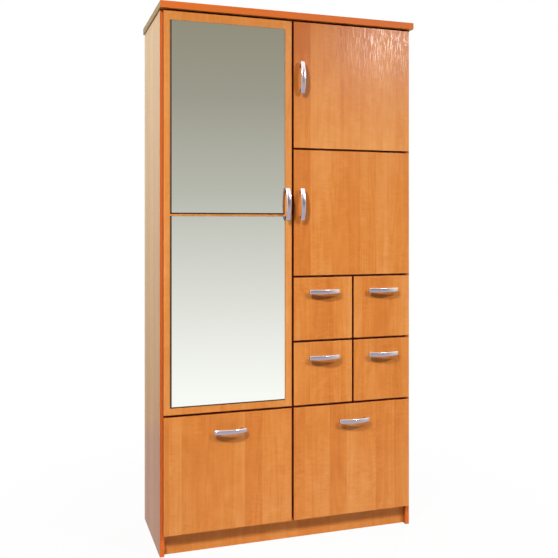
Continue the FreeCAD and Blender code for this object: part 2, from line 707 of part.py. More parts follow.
DEEP = ("deep_front_height", "deep_box_height", "deep_handle_drop")
LOW = ("small_front_height", "small_box_height", "low_handle_drop")
HIGH = ("small_front_height", "small_box_height", "high_handle_drop")
DRAWERS = (
    # name, walls beside the box, left edge, width and lower edge of the front, kind
    ("left_deep_drawer", LEFT_WALL, PARTITION_LEFT, LEFT_FRONT, FRONT_WIDTH, DEEP_LOW, DEEP),
    ("right_deep_drawer", PARTITION_RIGHT, RIGHT_WALL, RIGHT_FRONT, FRONT_WIDTH, DEEP_LOW, DEEP),
    ("low_left_drawer", PARTITION_RIGHT, MIDDLE_LEFT, RIGHT_FRONT, SMALL_FRONT_WIDTH, SMALL_LOW, LOW),
    ("low_right_drawer", MIDDLE_RIGHT, RIGHT_WALL, FAR_RIGHT_FRONT, SMALL_FRONT_WIDTH, SMALL_LOW, LOW),
    ("high_left_drawer", PARTITION_RIGHT, MIDDLE_LEFT, RIGHT_FRONT, SMALL_FRONT_WIDTH, SMALL_HIGH, HIGH),
    ("high_right_drawer", MIDDLE_RIGHT, RIGHT_WALL, FAR_RIGHT_FRONT, SMALL_FRONT_WIDTH, SMALL_HIGH, HIGH),
)


def drawers():
    cabinet_side = []
    for name, left, right, front_left, wide, low, (front_height, box_height, drop) in DRAWERS:
        under = f"({low} + box_lift)"
        front = block(f"{name}_front", (front_left, FRONT_FACE, low), (wide, "front_board", front_height))
        node(front, f"{name}_front")
        box(f"{name}_box", left, right, under, box_height)
        drawer_side = []
        for side, wall, hand in (("left", left, 1), ("right", right, -1)):
            fixed, sliding = runner_pair(f"{name}_{side}", wall, hand, under)
            cabinet_side += fixed
            drawer_side += sliding
        node(group(f"{name}_runner_group", drawer_side), f"{name}_runners")
        handle(f"{name}_handle", f"{front_left} + {wide} / 2", f"{low} + {front_height} - {drop}", False)
    node(group("cabinet_runner_group", cabinet_side), "cabinet_runners")


def check_and_write():
    doc.recompute()
    failed = [thing.Name for thing in doc.Objects if {"Invalid", "Error"} & set(thing.State)]
    if failed:
        raise RuntimeError(f"failed features: {failed}")
    for thing in nodes:
        if thing.Shape.isNull() or not thing.Shape.isValid():
            raise RuntimeError(f"bad shape: {thing.Label}")
    os.makedirs("parts", exist_ok=True)
    for thing in nodes:
        thing.Shape.exportStep(f"parts/{thing.Label}.step")


carcass()
inside_fittings()
doors()
drawers()
check_and_write()
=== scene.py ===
"""Looks of the chifforobe: laminated boards, mirror panes, bow handles and small fittings round its frame.

Metres, +Z up, front towards -Y. "Left" and "right" are seen from the front.
"""

import math

import bmesh
import bpy
from bpy.props import FloatProperty, FloatVectorProperty, PointerProperty
from mathutils import Matrix, Vector


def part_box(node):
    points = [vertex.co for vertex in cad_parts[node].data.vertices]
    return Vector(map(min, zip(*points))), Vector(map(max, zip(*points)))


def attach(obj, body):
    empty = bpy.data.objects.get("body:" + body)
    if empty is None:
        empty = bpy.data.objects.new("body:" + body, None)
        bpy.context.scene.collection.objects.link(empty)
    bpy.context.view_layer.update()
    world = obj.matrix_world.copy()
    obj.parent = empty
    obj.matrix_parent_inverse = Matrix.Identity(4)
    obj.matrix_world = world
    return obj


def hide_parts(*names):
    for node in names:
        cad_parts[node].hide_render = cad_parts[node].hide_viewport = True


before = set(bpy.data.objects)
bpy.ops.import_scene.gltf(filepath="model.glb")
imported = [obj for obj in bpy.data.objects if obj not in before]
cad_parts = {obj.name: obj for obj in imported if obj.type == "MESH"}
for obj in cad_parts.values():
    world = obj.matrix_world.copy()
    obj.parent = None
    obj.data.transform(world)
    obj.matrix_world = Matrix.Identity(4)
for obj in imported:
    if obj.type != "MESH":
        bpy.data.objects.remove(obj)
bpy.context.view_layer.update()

bl_info = {
    "name": "Chifforobe",
    "version": (1, 0, 0),
    "blender": (4, 5, 0),
    "location": "3D View > Sidebar > Chifforobe",
    "description": "Finishes and fittings of a chifforobe with a mirror door",
    "category": "Object",
}

# Names and sizes that follow the frame, in metres

AXES = "XYZ"
DOORS = ("mirror_door", "lower_door", "upper_door")
DRAWERS = (
    "left_deep_drawer", "right_deep_drawer",
    "low_left_drawer", "low_right_drawer", "high_left_drawer", "high_right_drawer",
)
UPRIGHT_BOARDS = (
    "left_side_panel", "right_side_panel", "centre_partition", "drawer_divider",
    "plinth_board", "rear_plinth_board",
)
FIXED_SHELVES = (
    "left_fixed_shelf", "right_lower_fixed_shelf", "right_middle_fixed_shelf", "right_upper_fixed_shelf",
)
LOOSE_SHELVES = ("lower_loose_shelf", "upper_loose_shelf")
LYING_BOARDS = ("top_panel", "bottom_panel", *FIXED_SHELVES, "hat_shelf", *LOOSE_SHELVES, "drawer_cross_rails")
HINGES = {"mirror_door": 4, "lower_door": 2, "upper_door": 2}
FLANGE = 0.062  # length of a hinge cup's flange
FLANGE_SCREW = 0.4 * FLANGE  # from the flange's middle to its screws
PLATE_WING = 0.003  # thickness of a mounting plate's wings
PLATE_REACH = 0.0165  # from a plate's middle to its screws
ARM_FACE = 0.0082  # face of a hinge arm over the wall
ARM_SCREWS = (0.010, 0.027)  # screws, from the rear end of an arm
BOX_BOARD = 0.012  # sides and back of a drawer box
BOX_SHEET = 0.003  # bottom of a drawer box
BOX_JOINT = 0.00005  # hairline between the boards of a box
CONNECTOR_BACK = 0.024  # connector caps, behind the front end of a box
CONNECTOR_INSET = 0.036  # connector caps, from the lower and upper edges of a box
RUNNER_SHEET = 0.0012
RUNNER_SPACE = 0.0125  # between a drawer box and the wall beside it
RUNNER_PLAY = 0.0022  # between a drawer's runner and the wall
RUNNER_SCREWS = (0.04, 0.17, 0.30)  # screws, behind the front end of a runner
FIXED_SCREW = 0.004  # level of the screws in the cabinet's runners, over the box's lower edge
SLIDING_SCREW = 0.0085  # the same for the drawer's runners
BRACKET_FOOT = 0.003
BRACKET_WIDTH = 0.014
BRACKET_SCREW = 0.006  # screws, from the ends of a bracket's foot
PEG = 0.005
PEG_INSET = 0.05
COLLAR = 0.85 * PEG  # radius of the collars round the pegs
HOLE_PITCH = 0.032
HOLES = (-4, -3, -2, -1, 1, 2, 3, 4)  # free holes below and above each peg
CAP_INSET = 0.06  # fastener caps, from the front and rear edges of the side panels
CAP_DROP = 0.034  # fastener caps, from the corner that their fastener holds

# Sizes of the small pieces, in metres

BEAD_RISE = 0.0016
BUMPER_RISE = 0.002
CAP_RISE = 0.001
RAIL_CAP_RISE = 0.0025
COLLAR_RISE = 0.0014
LINER_RISE = 0.0004
LINER_SINK = 0.0003
NAIL_RISE = 0.0007
NAIL_INSET = 0.007
STRIP_WIDTH = 0.024
STRIP_RISE = 0.0012
STRIP_ROUND = 0.0008
SAME_PLACE = 0.000002  # vertices nearer than this are one
ON_FACE = 0.000001  # vertices nearer to a plane than this lie on it
ON_ARC = 0.00001  # the same for the outside of a bow
WELD_REACH = 0.00001
BOW_STEPS = 32
CORNER = 1.0  # turn between two faces from which a made edge is a corner, in radians
BOARD_CORNER = math.radians(50)
SMOOTH_TURN = math.radians(38)

# Textures and tones

FINE = (300.0, 300.0, 300.0)  # scale of the texture on plain metal, paint and plastic
GRAIN = {
    # Each pattern of the laminate: its scale across and along the grain, and the noise's settings
    "lines": (240.0, 3.0, {"detail": 3.0, "roughness": 0.6}),
    "streaks": (55.0, 1.2, {"detail": 3.0, "distortion": 0.4}),
    "rings": (11.0, 0.9, {"detail": 2.0, "distortion": 0.3}),
    "clouds": (12.0, 7.0, {"detail": 4.0, "roughness": 0.6, "distortion": 1.2}),
    "pores": (330.0, 30.0, {"detail": 2.0}),
    "ripples": (26.0, 95.0, {"detail": 2.0, "distortion": 0.8}),
    "patches": (14.0, 5.0, {"detail": 1.0}),
}
WEIGHTS = {"figure": 1.1, "lines": 0.30, "streaks": 0.24, "rings": 0.05, "clouds": 0.60}
STAVE_WEIGHT = 0.70
# The staves, lines, streaks and clouds average about 0.5 each, and so does the sum
TONE_START = 0.5 - 0.5 * (STAVE_WEIGHT + WEIGHTS["lines"] + WEIGHTS["streaks"] + WEIGHTS["clouds"])
STAVE_JOINT = 0.0006  # width of the step between two staves, in metres
STAVE_MARK = 0.37  # step between the marks that tell staves apart
STAVE_SLIP = 5.0  # how far the pattern slips along the grain from mark to mark
RING_TURNS = 60.0
BAND_REACH = 0.6  # share of the edge rounding that belongs to the edge band
OPEN_PORES = (0.50, 0.66)  # pore pattern between no lacquer and full lacquer
FRONT_LACQUER = 0.31
UPRIGHT_SEED = 1.7  # shift of the pattern from board to board
LYING_SEED = 1.3
LYING_START = 20
FRONT_SEED = 3.1
PAINTED_BOARD_SHADES = {
    # Painted shade and light: boards made darker or lighter for how the lamps light them, the side panels darker
    # and the plinth lighter to offset the shade that the fronts cast on it; the rear plinth is darker
    "plinth_board": 1.03, "rear_plinth_board": 0.8, "left_side_panel": 0.75, "right_side_panel": 0.75,
}
# Painted shade: change of tone from the lower to the upper edge of a front, the upper door darker towards the top
# panel's shade and the deep drawer fronts paler low down, where the floor's light falls
FRONT_PAINTED_SHADE_CLIMB = {"upper_door_panel": -0.62, "left_deep_drawer_front": -0.14, "right_deep_drawer_front": -0.14}
FRONT_STAVES = {
    # Each stave: millimetres from the left edge of the front, tone at its left and at its right
    "upper_door_panel": (
        (0, 0.18, 0.10), (68, 0.58, 0.60), (120, 0.62, 0.52), (190, 0.32, 0.62), (275, 0.36, 0.62),
        (340, 0.50, 0.52), (370, 0.70, 0.62), (425, 0.44, 0.50)),
    "lower_door_panel": (
        (0, 0.20, 0.12), (68, 0.62, 0.60), (152, 0.44, 0.40), (275, 0.60, 0.46), (343, 0.72, 0.80),
        (395, 0.62, 0.50)),
    "high_left_drawer_front": ((0, 0.60, 0.38), (85, 0.26, 0.32), (162, 0.42, 0.82)),
    "high_right_drawer_front": ((0, 0.72, 0.66), (35, 0.46, 0.30), (150, 0.40, 0.88)),
    "low_left_drawer_front": ((0, 0.74, 0.44), (66, 0.64, 0.24), (160, 0.50, 0.70), (192, 0.38, 0.76)),
    "low_right_drawer_front": ((0, 0.36, 0.40), (45, 0.62, 0.28), (203, 0.50, 0.74)),
    "left_deep_drawer_front": (
        (0, 0.46, 0.40), (20, 0.62, 0.72), (66, 0.46, 0.36), (150, 0.34, 0.64), (303, 0.32, 0.34),
        (370, 0.60, 0.60)),
    "right_deep_drawer_front": (
        (0, 0.30, 0.36), (45, 0.52, 0.62), (147, 0.27, 0.38), (217, 0.78, 0.56), (340, 0.40, 0.62),
        (423, 0.32, 0.60)),
    "mirror_door_panel": (
        (0, 0.76, 0.70), (66, 0.58, 0.66), (210, 0.46, 0.70), (330, 0.60, 0.70), (452, 0.84, 0.80)),
}
PLINTH_STAVES = (
    (0, 0.48, 0.44), (135, 0.56, 0.50), (262, 0.44, 0.50), (410, 0.60, 0.52), (540, 0.46, 0.42),
    (655, 0.58, 0.56), (790, 0.50, 0.44), (905, 0.54, 0.52))

# Light, as parts of the view's direction where a tone starts and ends, and as places in metres

ROOM_HEIGHTS = (-0.22, 0.26)
CEILING_HEIGHTS = (0.42, 0.85)
GLOW_HEIGHTS = (-0.37, 0.24)
SIDE_DEPTHS = (-0.86, -0.50)
LAMPS = {
    # Each lamp: its place, and the point that it faces
    "left_lamp": ((-1.76, -2.2, 2.93), (0, -0.19, -0.3)),
    "right_lamp": ((1.4, -2.2, 2.49), (0, -0.19, -0.3)),
    "rear_lamp": ((3.7, 4.1, 3.2), (0.2, 0.1, 0.9)),
}
LAMP_SPREAD = math.radians(110)
FLOOR_DROP = 0.0002
FLOOR_FADE = (0.7, 0.95)  # start of the fade from the middle, and its end as a share of the floor
FLOOR_MATT = (0.6, 0.6, 0.595, 1)


def paint(red, green, blue):
    """Linear colour of a paint given as eight-bit values."""
    def linear(value):
        part = value / 255
        return part / 12.92 if part <= 0.04045 else ((part + 0.055) / 1.055) ** 2.4
    return linear(red), linear(green), linear(blue)


def colour(name, red, green, blue, description):
    return FloatVectorProperty(
        name=name, description=description, subtype="COLOR", size=3, min=0, max=1,
        default=paint(red, green, blue),
    )


def length(name, default, description):
    return FloatProperty(name=name, description=description, default=default, min=0, unit="LENGTH")


def share(name, default, description):
    return FloatProperty(name=name, description=description, default=default, min=0, max=1, subtype="FACTOR")


def power(name, default, description):
    return FloatProperty(name=name, description=description, default=default, min=0, unit="POWER")


def glow(name, default, description):
    return FloatProperty(name=name, description=description, default=default, min=0)


# Settings


class CHIFFOROBE_PG_finish(bpy.types.PropertyGroup):
    """Colours and gloss of the chifforobe's finishes"""
    alder_dark: colour("Dark alder", 192, 103, 38, "Darkest staves and grain lines")
    alder_mid: colour("Alder", 211, 129, 58, "Middle tone of the laminate")
    alder_light: colour("Light alder", 225, 154, 86, "Lightest staves")
    alder_edge: colour("Edge band", 218, 105, 40, "Bands on the edges of the boards")
    top_edge: colour("Top edge band", 219, 109, 38, "Band on the front and rear edges of the top panel")
    # Painted shade: the top's end bands have the face's tan, darkened as the ends look in shade
    top_end_shade: colour("Top end band", 128, 92, 44, "Band on the ends of the top panel")
    # Partly painted shade: the fronts' edge bands are a dark red-brown that also stands for the shade in the gaps
    # between the fronts
    front_band_and_gap_shade: colour("Front edge band", 116, 34, 7, "Bands on the edges of the doors and drawer fronts")
    alder_gloss: share("Laminate roughness", 0.34, "Roughness of the satin laminate")
    silver: colour("Silvering", 250, 251, 249, "Silvered glass")
    glass_edge: colour("Glass edge", 34, 38, 34, "Ground edge of the mirror panes")
    # Partly painted shade: a dark bead left of and below each pane, which draws the proud pane's shadow line
    # there
    shade_bead: colour("Bedding", 44, 28, 16, "Bead that beds the mirror panes, left of and below them")
    mirror_back: colour("Mirror backing", 112, 108, 104, "Paint behind the silvering")
    handle: colour("Satin metal", 180, 170, 186, "Bow handles")
    handle_gloss: share("Handle roughness", 0.21, "Roughness of the satin metal")
    nickel: colour("Nickel", 196, 194, 188, "Plated hinges, pegs and screws")
    runner: colour("Runner paint", 232, 230, 222, "Powder coat of the drawer runners")
    chrome: colour("Bright plating", 214, 215, 218, "Hanging rail and its brackets")
    foil: colour("Drawer foil", 222, 196, 160, "Foil on the drawer boxes")
    hardboard: colour("Hardboard", 148, 104, 66, "Bare rear of the back sheets")
    hardboard_face: colour("Painted hardboard", 214, 160, 104, "Painted face of the back sheets")
    plastic: colour("Brown plastic", 176, 104, 52, "Fastener caps and the joint strip")
    # Painted shade: the near-black disc in each liner stands for the shaded inside of a hole that is not cut
    bore: colour("Bore", 34, 20, 12, "Inside of the shelf holes")
    bumper: colour("Bumper", 206, 204, 196, "Clear bumpers behind the doors")


class CHIFFOROBE_PG_fittings(bpy.types.PropertyGroup):
    """Sizes of the details"""
    edge_round: length("Edge rounding", 0.0008, "Rounding of the board edges")
    stave: length("Stave", 0.085, "Usual width of a stave in the laminate")
    arris: length("Arris", 0.0008, "Ground arris of the mirror panes")
    shade_bead: length("Bedding", 0.005, "Width of the bead beside the mirror panes")
    handle_end: length("Handle end", 0.020, "Outer face of a handle over the front, at its ends")
    handle_strip: length("Handle strip", 0.005, "Thickness of a handle's bent strip")
    handle_holes: length("Handle holes", 0.096, "Between the middles of a handle's legs")
    handle_leg: length("Handle leg", 0.012, "Thickness of a handle's legs")
    handle_round: length("Handle rounding", 0.0038, "Rounding of a handle's outer edges")
    handle_inner_round: length("Handle inner rounding", 0.0008, "Rounding of a handle's inner edges")
    screw_head: length("Screw head", 0.0034, "Radius of the screw heads")
    screw_rise: length("Screw rise", 0.0016, "Height of the screw heads")
    cap: length("Fastener cap", 0.0085, "Radius of the fastener caps")
    bumper: length("Bumper", 0.004, "Radius of the door bumpers")
    nail: length("Nail head", 0.0024, "Radius of the nail heads in the back sheets")
    nail_pitch: length("Nail pitch", 0.13, "Distance between the nails")


class CHIFFOROBE_PG_stage(bpy.types.PropertyGroup):
    """Floor, lamps and camera"""
    camera_place: FloatVectorProperty(
        name="Camera", description="Place of the camera", subtype="TRANSLATION", unit="LENGTH",
        default=(-0.9468, -2.9072, 1.2019),
    )
    camera_turn: FloatProperty(
        name="Camera turn", description="Turn of the level camera to the right", subtype="ANGLE",
        default=math.radians(18.176),
    )
    lens: FloatProperty(name="Lens", description="Focal length", default=49.07, min=1, unit="CAMERA")
    rise: FloatProperty(name="Shift", description="Vertical shift of the lens", default=-0.0986)
    left_lamp: power("Left lamp", 38.5, "Power of the left lamp")
    right_lamp: power("Right lamp", 19.5, "Power of the right lamp")
    rear_lamp: power("Rear lamp", 110, "Power of the rear lamp")
    lamp_width: length("Lamp width", 0.28, "Width and height of each lamp")
    surround: share("Surround", 0.06, "Level of the light from all round")
    room_top: colour("Top of the room", 148, 144, 127, "Room ahead of the cabinet, high above the lens")
    room_high: colour("Upper room", 160, 157, 144, "Room ahead of the cabinet, above the lens")
    room_level: colour("Middle room", 187, 187, 177, "Room ahead of the cabinet, level with the lens")
    room_low: colour("Lower room", 253, 254, 250, "Floor and room ahead of the cabinet, below the lens")
    wall: colour("Walls", 255, 253, 222, "Walls beside and behind")
    low_glow: glow("Low glow", 0.9, "Level of the walls beside and behind, low down")
    high_glow: glow("High glow", 2.45, "Level of the walls beside and behind, high up")
    ceiling: glow("Ceiling", 3.6, "Level of the ceiling")
    floor_size: length("Floor", 1.6, "Middle of the floor to its edges")
    floor_white: share("Floor white", 0.96, "Share of plain white in the floor beside its shadow")


# Materials


def put(tree, kind, feeds=None, **settings):
    """Adds a node; feeds maps its inputs to constants or to the sockets that feed them."""
    made = tree.nodes.new(kind)
    for name, value in settings.items():
        setattr(made, name, value)
    for key, value in (feeds or {}).items():
        if isinstance(value, bpy.types.NodeSocket):
            tree.links.new(value, made.inputs[key])
        else:
            made.inputs[key].default_value = value
    return made


def calc(tree, operation, *values):
    return put(tree, "ShaderNodeMath", dict(enumerate(values)), operation=operation).outputs[0]


def full(value):
    """Colour with its alpha, or the socket as it is."""
    return value if isinstance(value, bpy.types.NodeSocket) else (*value, 1.0)


def even(value):
    """The same value three times: a grey, or one scale for all axes."""
    return value, value, value


def shaded(base, level):
    """Colour made darker, or lighter above 1."""
    return tuple(level * part for part in base)


def between(tree, factor, low, high):
    """Colour between two colours."""
    feeds = {0: factor, 6: full(low), 7: full(high)}
    return put(tree, "ShaderNodeMix", feeds, data_type="RGBA").outputs[2]


def spread(tree, value, low, high, first=0.0, last=1.0, **settings):
    """Value moved from one range to another, and held at its ends."""
    feeds = {"Value": value, "From Min": low, "From Max": high, "To Min": first, "To Max": last}
    return put(tree, "ShaderNodeMapRange", feeds, **settings).outputs[0]


def varied(tree, pattern, middle, width):
    """Value that varies about its middle with a pattern."""
    return calc(tree, "MULTIPLY_ADD", pattern, width, middle - width / 2)


def brightened(tree, base, level):
    """Colour times a level that a socket gives."""
    return put(tree, "ShaderNodeVectorMath", {0: base, 3: level}, operation="SCALE").outputs[0]


def ramp(tree, factor, stops, interpolation="LINEAR"):
    made = put(tree, "ShaderNodeValToRGB", {0: factor})
    band = made.color_ramp
    band.interpolation = interpolation
    while len(band.elements) < len(stops):
        band.elements.new(0.5)
    for element, (position, value) in zip(band.elements, stops):
        element.position = position
        element.color = full(value)
    return made.outputs[0]


def new_material(name):
    made = bpy.data.materials.new(name)
    made.use_nodes = True
    made.node_tree.nodes.clear()
    return made, made.node_tree


def surface(tree, feeds):
    shader = put(tree, "ShaderNodeBsdfPrincipled", feeds)
    put(tree, "ShaderNodeOutputMaterial", {"Surface": shader.outputs[0]})


def noise(tree, place, scale, detail=2.0, roughness=0.5, distortion=0.0):
    vector = put(tree, "ShaderNodeVectorMath", {0: place, 1: scale}, operation="MULTIPLY").outputs[0]
    feeds = {"Vector": vector, "Scale": 1.0, "Detail": detail, "Roughness": roughness, "Distortion": distortion}
    return put(tree, "ShaderNodeTexNoise", feeds).outputs[0]


def relief(tree, height, strength, distance):
    feeds = {"Strength": strength, "Distance": distance, "Height": height}
    return put(tree, "ShaderNodeBump", feeds).outputs[0]


def object_place(tree):
    return put(tree, "ShaderNodeTexCoord").outputs["Object"]


def in_metres(staves):
    return [(start / 1000, left, right) for start, left, right in staves]


def stave_tone(tree, place, low, high, staves):
    """Tone across a front, from one value to another in each stave, and a mark that tells the staves apart."""
    width = high - low
    starts = [start / width for start, _, _ in staves] + [1.0]
    stops = []
    for number, (_, left, right) in enumerate(staves):
        stops.append((starts[number], even(left)))
        stops.append((starts[number + 1] - STAVE_JOINT / width, even(right)))
    across = spread(tree, place, low, high)
    marks = [(start, even(STAVE_MARK * number % 1.0)) for number, start in enumerate(starts[:-1])]
    return ramp(tree, across, stops), ramp(tree, across, marks, "CONSTANT")


def alder(name, grain, edge_colour, staves=None, seed=0.0, shade=1.0, shade_climb=0.0, edge_dull=0.3, lacquer=0.0,
          end_shade_colour=None):
    """Laminate of alder staves with the grain along one axis, and its bands on the board's edges."""
    finish = bpy.context.scene.chifforobe_finish
    fittings = bpy.context.scene.chifforobe_fittings
    low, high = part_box(name)
    sides = high - low
    thin = min(range(3), key=lambda axis: sides[axis])
    along = AXES.index(grain)
    across = 3 - thin - along
    made, tree = new_material(f"alder_{name}")
    parts = put(tree, "ShaderNodeSeparateXYZ", {0: object_place(tree)}).outputs

    def at_limit(axis, test):
        """Compares a point's distance from the board's middle with where the edge band starts."""
        off = calc(tree, "ABSOLUTE", calc(tree, "SUBTRACT", parts[axis], (low[axis] + high[axis]) / 2))
        return calc(tree, test, off, sides[axis] / 2 - BAND_REACH * fittings.edge_round)

    if staves:
        tone, mark = stave_tone(tree, parts[across], low[across], high[across], staves)
    else:
        line = calc(tree, "ADD", parts[across], seed)
        feeds = {"W": line, "Scale": 1 / fittings.stave, "Randomness": 0.8}
        cells = put(tree, "ShaderNodeTexVoronoi", feeds, voronoi_dimensions="1D")
        mark = tone = put(tree, "ShaderNodeSeparateColor", {0: cells.outputs["Color"]}).outputs[0]
    start = calc(tree, "ADD", parts[along], calc(tree, "MULTIPLY_ADD", mark, STAVE_SLIP, seed))
    wood = put(tree, "ShaderNodeCombineXYZ", {0: parts[across], 1: parts[thin], 2: start}).outputs[0]
    grains = {
        kind: noise(tree, wood, (fine, fine, drawn_out), **settings)
        for kind, (fine, drawn_out, settings) in GRAIN.items()
    }
    ripples = calc(tree, "SUBTRACT", grains["ripples"], 0.5)
    layers = {
        "figure": calc(tree, "MULTIPLY", ripples, calc(tree, "POWER", grains["patches"], 2.0)),
        "lines": grains["lines"],
        "streaks": grains["streaks"],
        "rings": calc(tree, "SINE", calc(tree, "MULTIPLY", grains["rings"], RING_TURNS)),
        "clouds": grains["clouds"],
    }
    total = calc(tree, "MULTIPLY_ADD", tone, STAVE_WEIGHT, TONE_START)
    # Painted shade: the tone falls from the lower to the upper edge of the front
    if shade_climb:
        slope = spread(tree, parts[along], low[along], high[along], -shade_climb / 2, shade_climb / 2)
        total = calc(tree, "ADD", total, slope)
    for kind, layer in layers.items():
        total = calc(tree, "MULTIPLY_ADD", layer, WEIGHTS[kind], total)
    tones = ((0.0, finish.alder_dark), (0.5, finish.alder_mid), (1.0, finish.alder_light))
    # Painted shade: the face tones are made darker or lighter per board for how the lamps light it
    face = ramp(tree, total, [(position, shaded(value, shade)) for position, value in tones])
    band = at_limit(thin, "LESS_THAN")
    edge = brightened(tree, edge_colour, varied(tree, grains["lines"], middle=0.995, width=0.35))
    # Painted shade: the ends of the board take a darker tan band, as they look in shade
    if end_shade_colour is not None:
        edge = between(tree, at_limit(along, "GREATER_THAN"), edge, end_shade_colour)
    roughened = calc(tree, "ADD", grains["pores"], grains["lines"])
    gloss = varied(tree, grains["lines"], finish.alder_gloss, width=0.14)
    feeds = {
        "Base Color": between(tree, band, face, edge),
        "Roughness": calc(tree, "MULTIPLY_ADD", band, edge_dull, gloss),
        "Specular IOR Level": 0.18,
        "Normal": relief(tree, roughened, strength=0.35, distance=0.0005),
    }
    if lacquer > 0:
        shine = spread(tree, grains["pores"], *OPEN_PORES, 0.0, lacquer)
        feeds.update({"Coat Weight": shine, "Coat Roughness": 0.20})
    surface(tree, feeds)
    return made


def metal(name, base, rough, brush=FINE, relief_strength=0.05):
    """Metal with fine brush marks, drawn out along the axis with the smallest scale."""
    made, tree = new_material(name)
    place = object_place(tree)
    marks = noise(tree, place, brush)
    clouds = noise(tree, place, even(30.0))
    surface(tree, {
        "Base Color": between(tree, clouds, shaded(base, level=0.90), base),
        "Metallic": 1.0,
        "Roughness": varied(tree, marks, rough, width=0.06),
        "Normal": relief(tree, marks, relief_strength, distance=0.0004),
    })
    return made


def coat(name, base, rough, scale=FINE, depth=0.08):
    """Paint, foil or plastic with a fine texture."""
    made, tree = new_material(name)
    speck = noise(tree, object_place(tree), scale, detail=3.0)
    surface(tree, {
        "Base Color": between(tree, speck, shaded(base, level=0.86), base),
        "Roughness": varied(tree, speck, rough, width=0.10),
        "Normal": relief(tree, speck, depth, distance=0.0005),
    })
    return made


def hardboard(name):
    """Thin fibre sheet: painted towards the inside, bare and mottled at the rear."""
    finish = bpy.context.scene.chifforobe_finish
    paint_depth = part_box(name)[0].y + 0.0004
    made, tree = new_material(f"hardboard_{name}")
    place = object_place(tree)
    depth = put(tree, "ShaderNodeSeparateXYZ", {0: place}).outputs[1]
    rear = calc(tree, "GREATER_THAN", depth, paint_depth)
    fibres = noise(tree, place, even(260.0), detail=4.0, roughness=0.65)
    clouds = noise(tree, place, even(7.0), detail=3.0)
    mottled = calc(tree, "MULTIPLY_ADD", clouds, 0.5, calc(tree, "MULTIPLY", fibres, 0.5))
    bare = between(tree, mottled, shaded(finish.hardboard, level=0.62), finish.hardboard)
    surface(tree, {
        "Base Color": between(tree, rear, finish.hardboard_face, bare),
        "Roughness": varied(tree, fibres, middle=0.7, width=0.2),
        "Normal": relief(tree, fibres, strength=0.15, distance=0.0006),
    })
    return made


# Shapes


def dress(name, material, edge_round=None):
    """Gives a part of the frame its finish and, where it is a board, its rounded edges."""
    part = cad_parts[name]
    part.material_slots[0].material = material
    if edge_round:
        weld = part.modifiers.new("joined", "WELD")
        weld.merge_threshold = WELD_REACH
        bevel = part.modifiers.new("rounded", "BEVEL")
        bevel.width = edge_round
        bevel.segments = 2
        bevel.limit_method = "ANGLE"
        bevel.angle_limit = BOARD_CORNER


def keep(name, mesh_data, materials, body, stands_for=()):
    """Makes a piece of a bmesh, in place, riding on a body."""
    for face in mesh_data.faces:
        face.smooth = True
    for edge in mesh_data.edges:
        edge.smooth = len(edge.link_faces) == 2 and edge.calc_face_angle() < SMOOTH_TURN
    mesh = bpy.data.meshes.new(name)
    mesh_data.to_mesh(mesh)
    mesh_data.free()
    for material in materials:
        mesh.materials.append(material)
    piece = bpy.data.objects.new(name, mesh)
    bpy.context.scene.collection.objects.link(piece)
    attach(piece, body)
    if stands_for:
        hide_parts(*stands_for)


def tidy(mesh_data):
    """Joins vertices that lie together and turns the faces outwards."""
    bmesh.ops.remove_doubles(mesh_data, verts=mesh_data.verts[:], dist=SAME_PLACE)
    bmesh.ops.recalc_face_normals(mesh_data, faces=mesh_data.faces[:])


def stood(direction, place):
    """Turns a shape that stands on the floor plane so that it stands on a face, at a place of it."""
    turn = Vector((0, 0, 1)).rotation_difference(Vector(direction))
    return Matrix.Translation(Vector(place)) @ turn.to_matrix().to_4x4()


def repeat(master, places):
    """One bmesh with a copy of the master at each place."""
    pattern = bpy.data.meshes.new("pattern")
    master.to_mesh(pattern)
    master.free()
    made = bmesh.new()
    for place in places:
        made.verts.ensure_lookup_table()
        before = len(made.verts)
        made.from_mesh(pattern)
        made.verts.ensure_lookup_table()
        bmesh.ops.transform(made, matrix=place, verts=made.verts[before:])
    bpy.data.meshes.remove(pattern)
    return made


def screws(places):
    """One bmesh with a screw head at each place."""
    fittings = bpy.context.scene.chifforobe_fittings
    return repeat(screw_shape(fittings.screw_head, fittings.screw_rise), places)


def bevel_edges(mesh_data, edges, offset, segments):
    bmesh.ops.bevel(
        mesh_data, geom=edges, offset=offset, offset_type="OFFSET", segments=segments, profile=0.5,
        affect="EDGES", clamp_overlap=True, material=-1,
    )


def corners_of(geometry):
    """Vertices among what an operator made."""
    return [item for item in geometry if isinstance(item, bmesh.types.BMVert)]


def add_block(made, low, high):
    """Adds a block between two corners."""
    corners = bmesh.ops.create_cube(made, size=1)["verts"]
    bmesh.ops.scale(made, vec=high - low, verts=corners)
    bmesh.ops.translate(made, vec=(low + high) / 2, verts=corners)


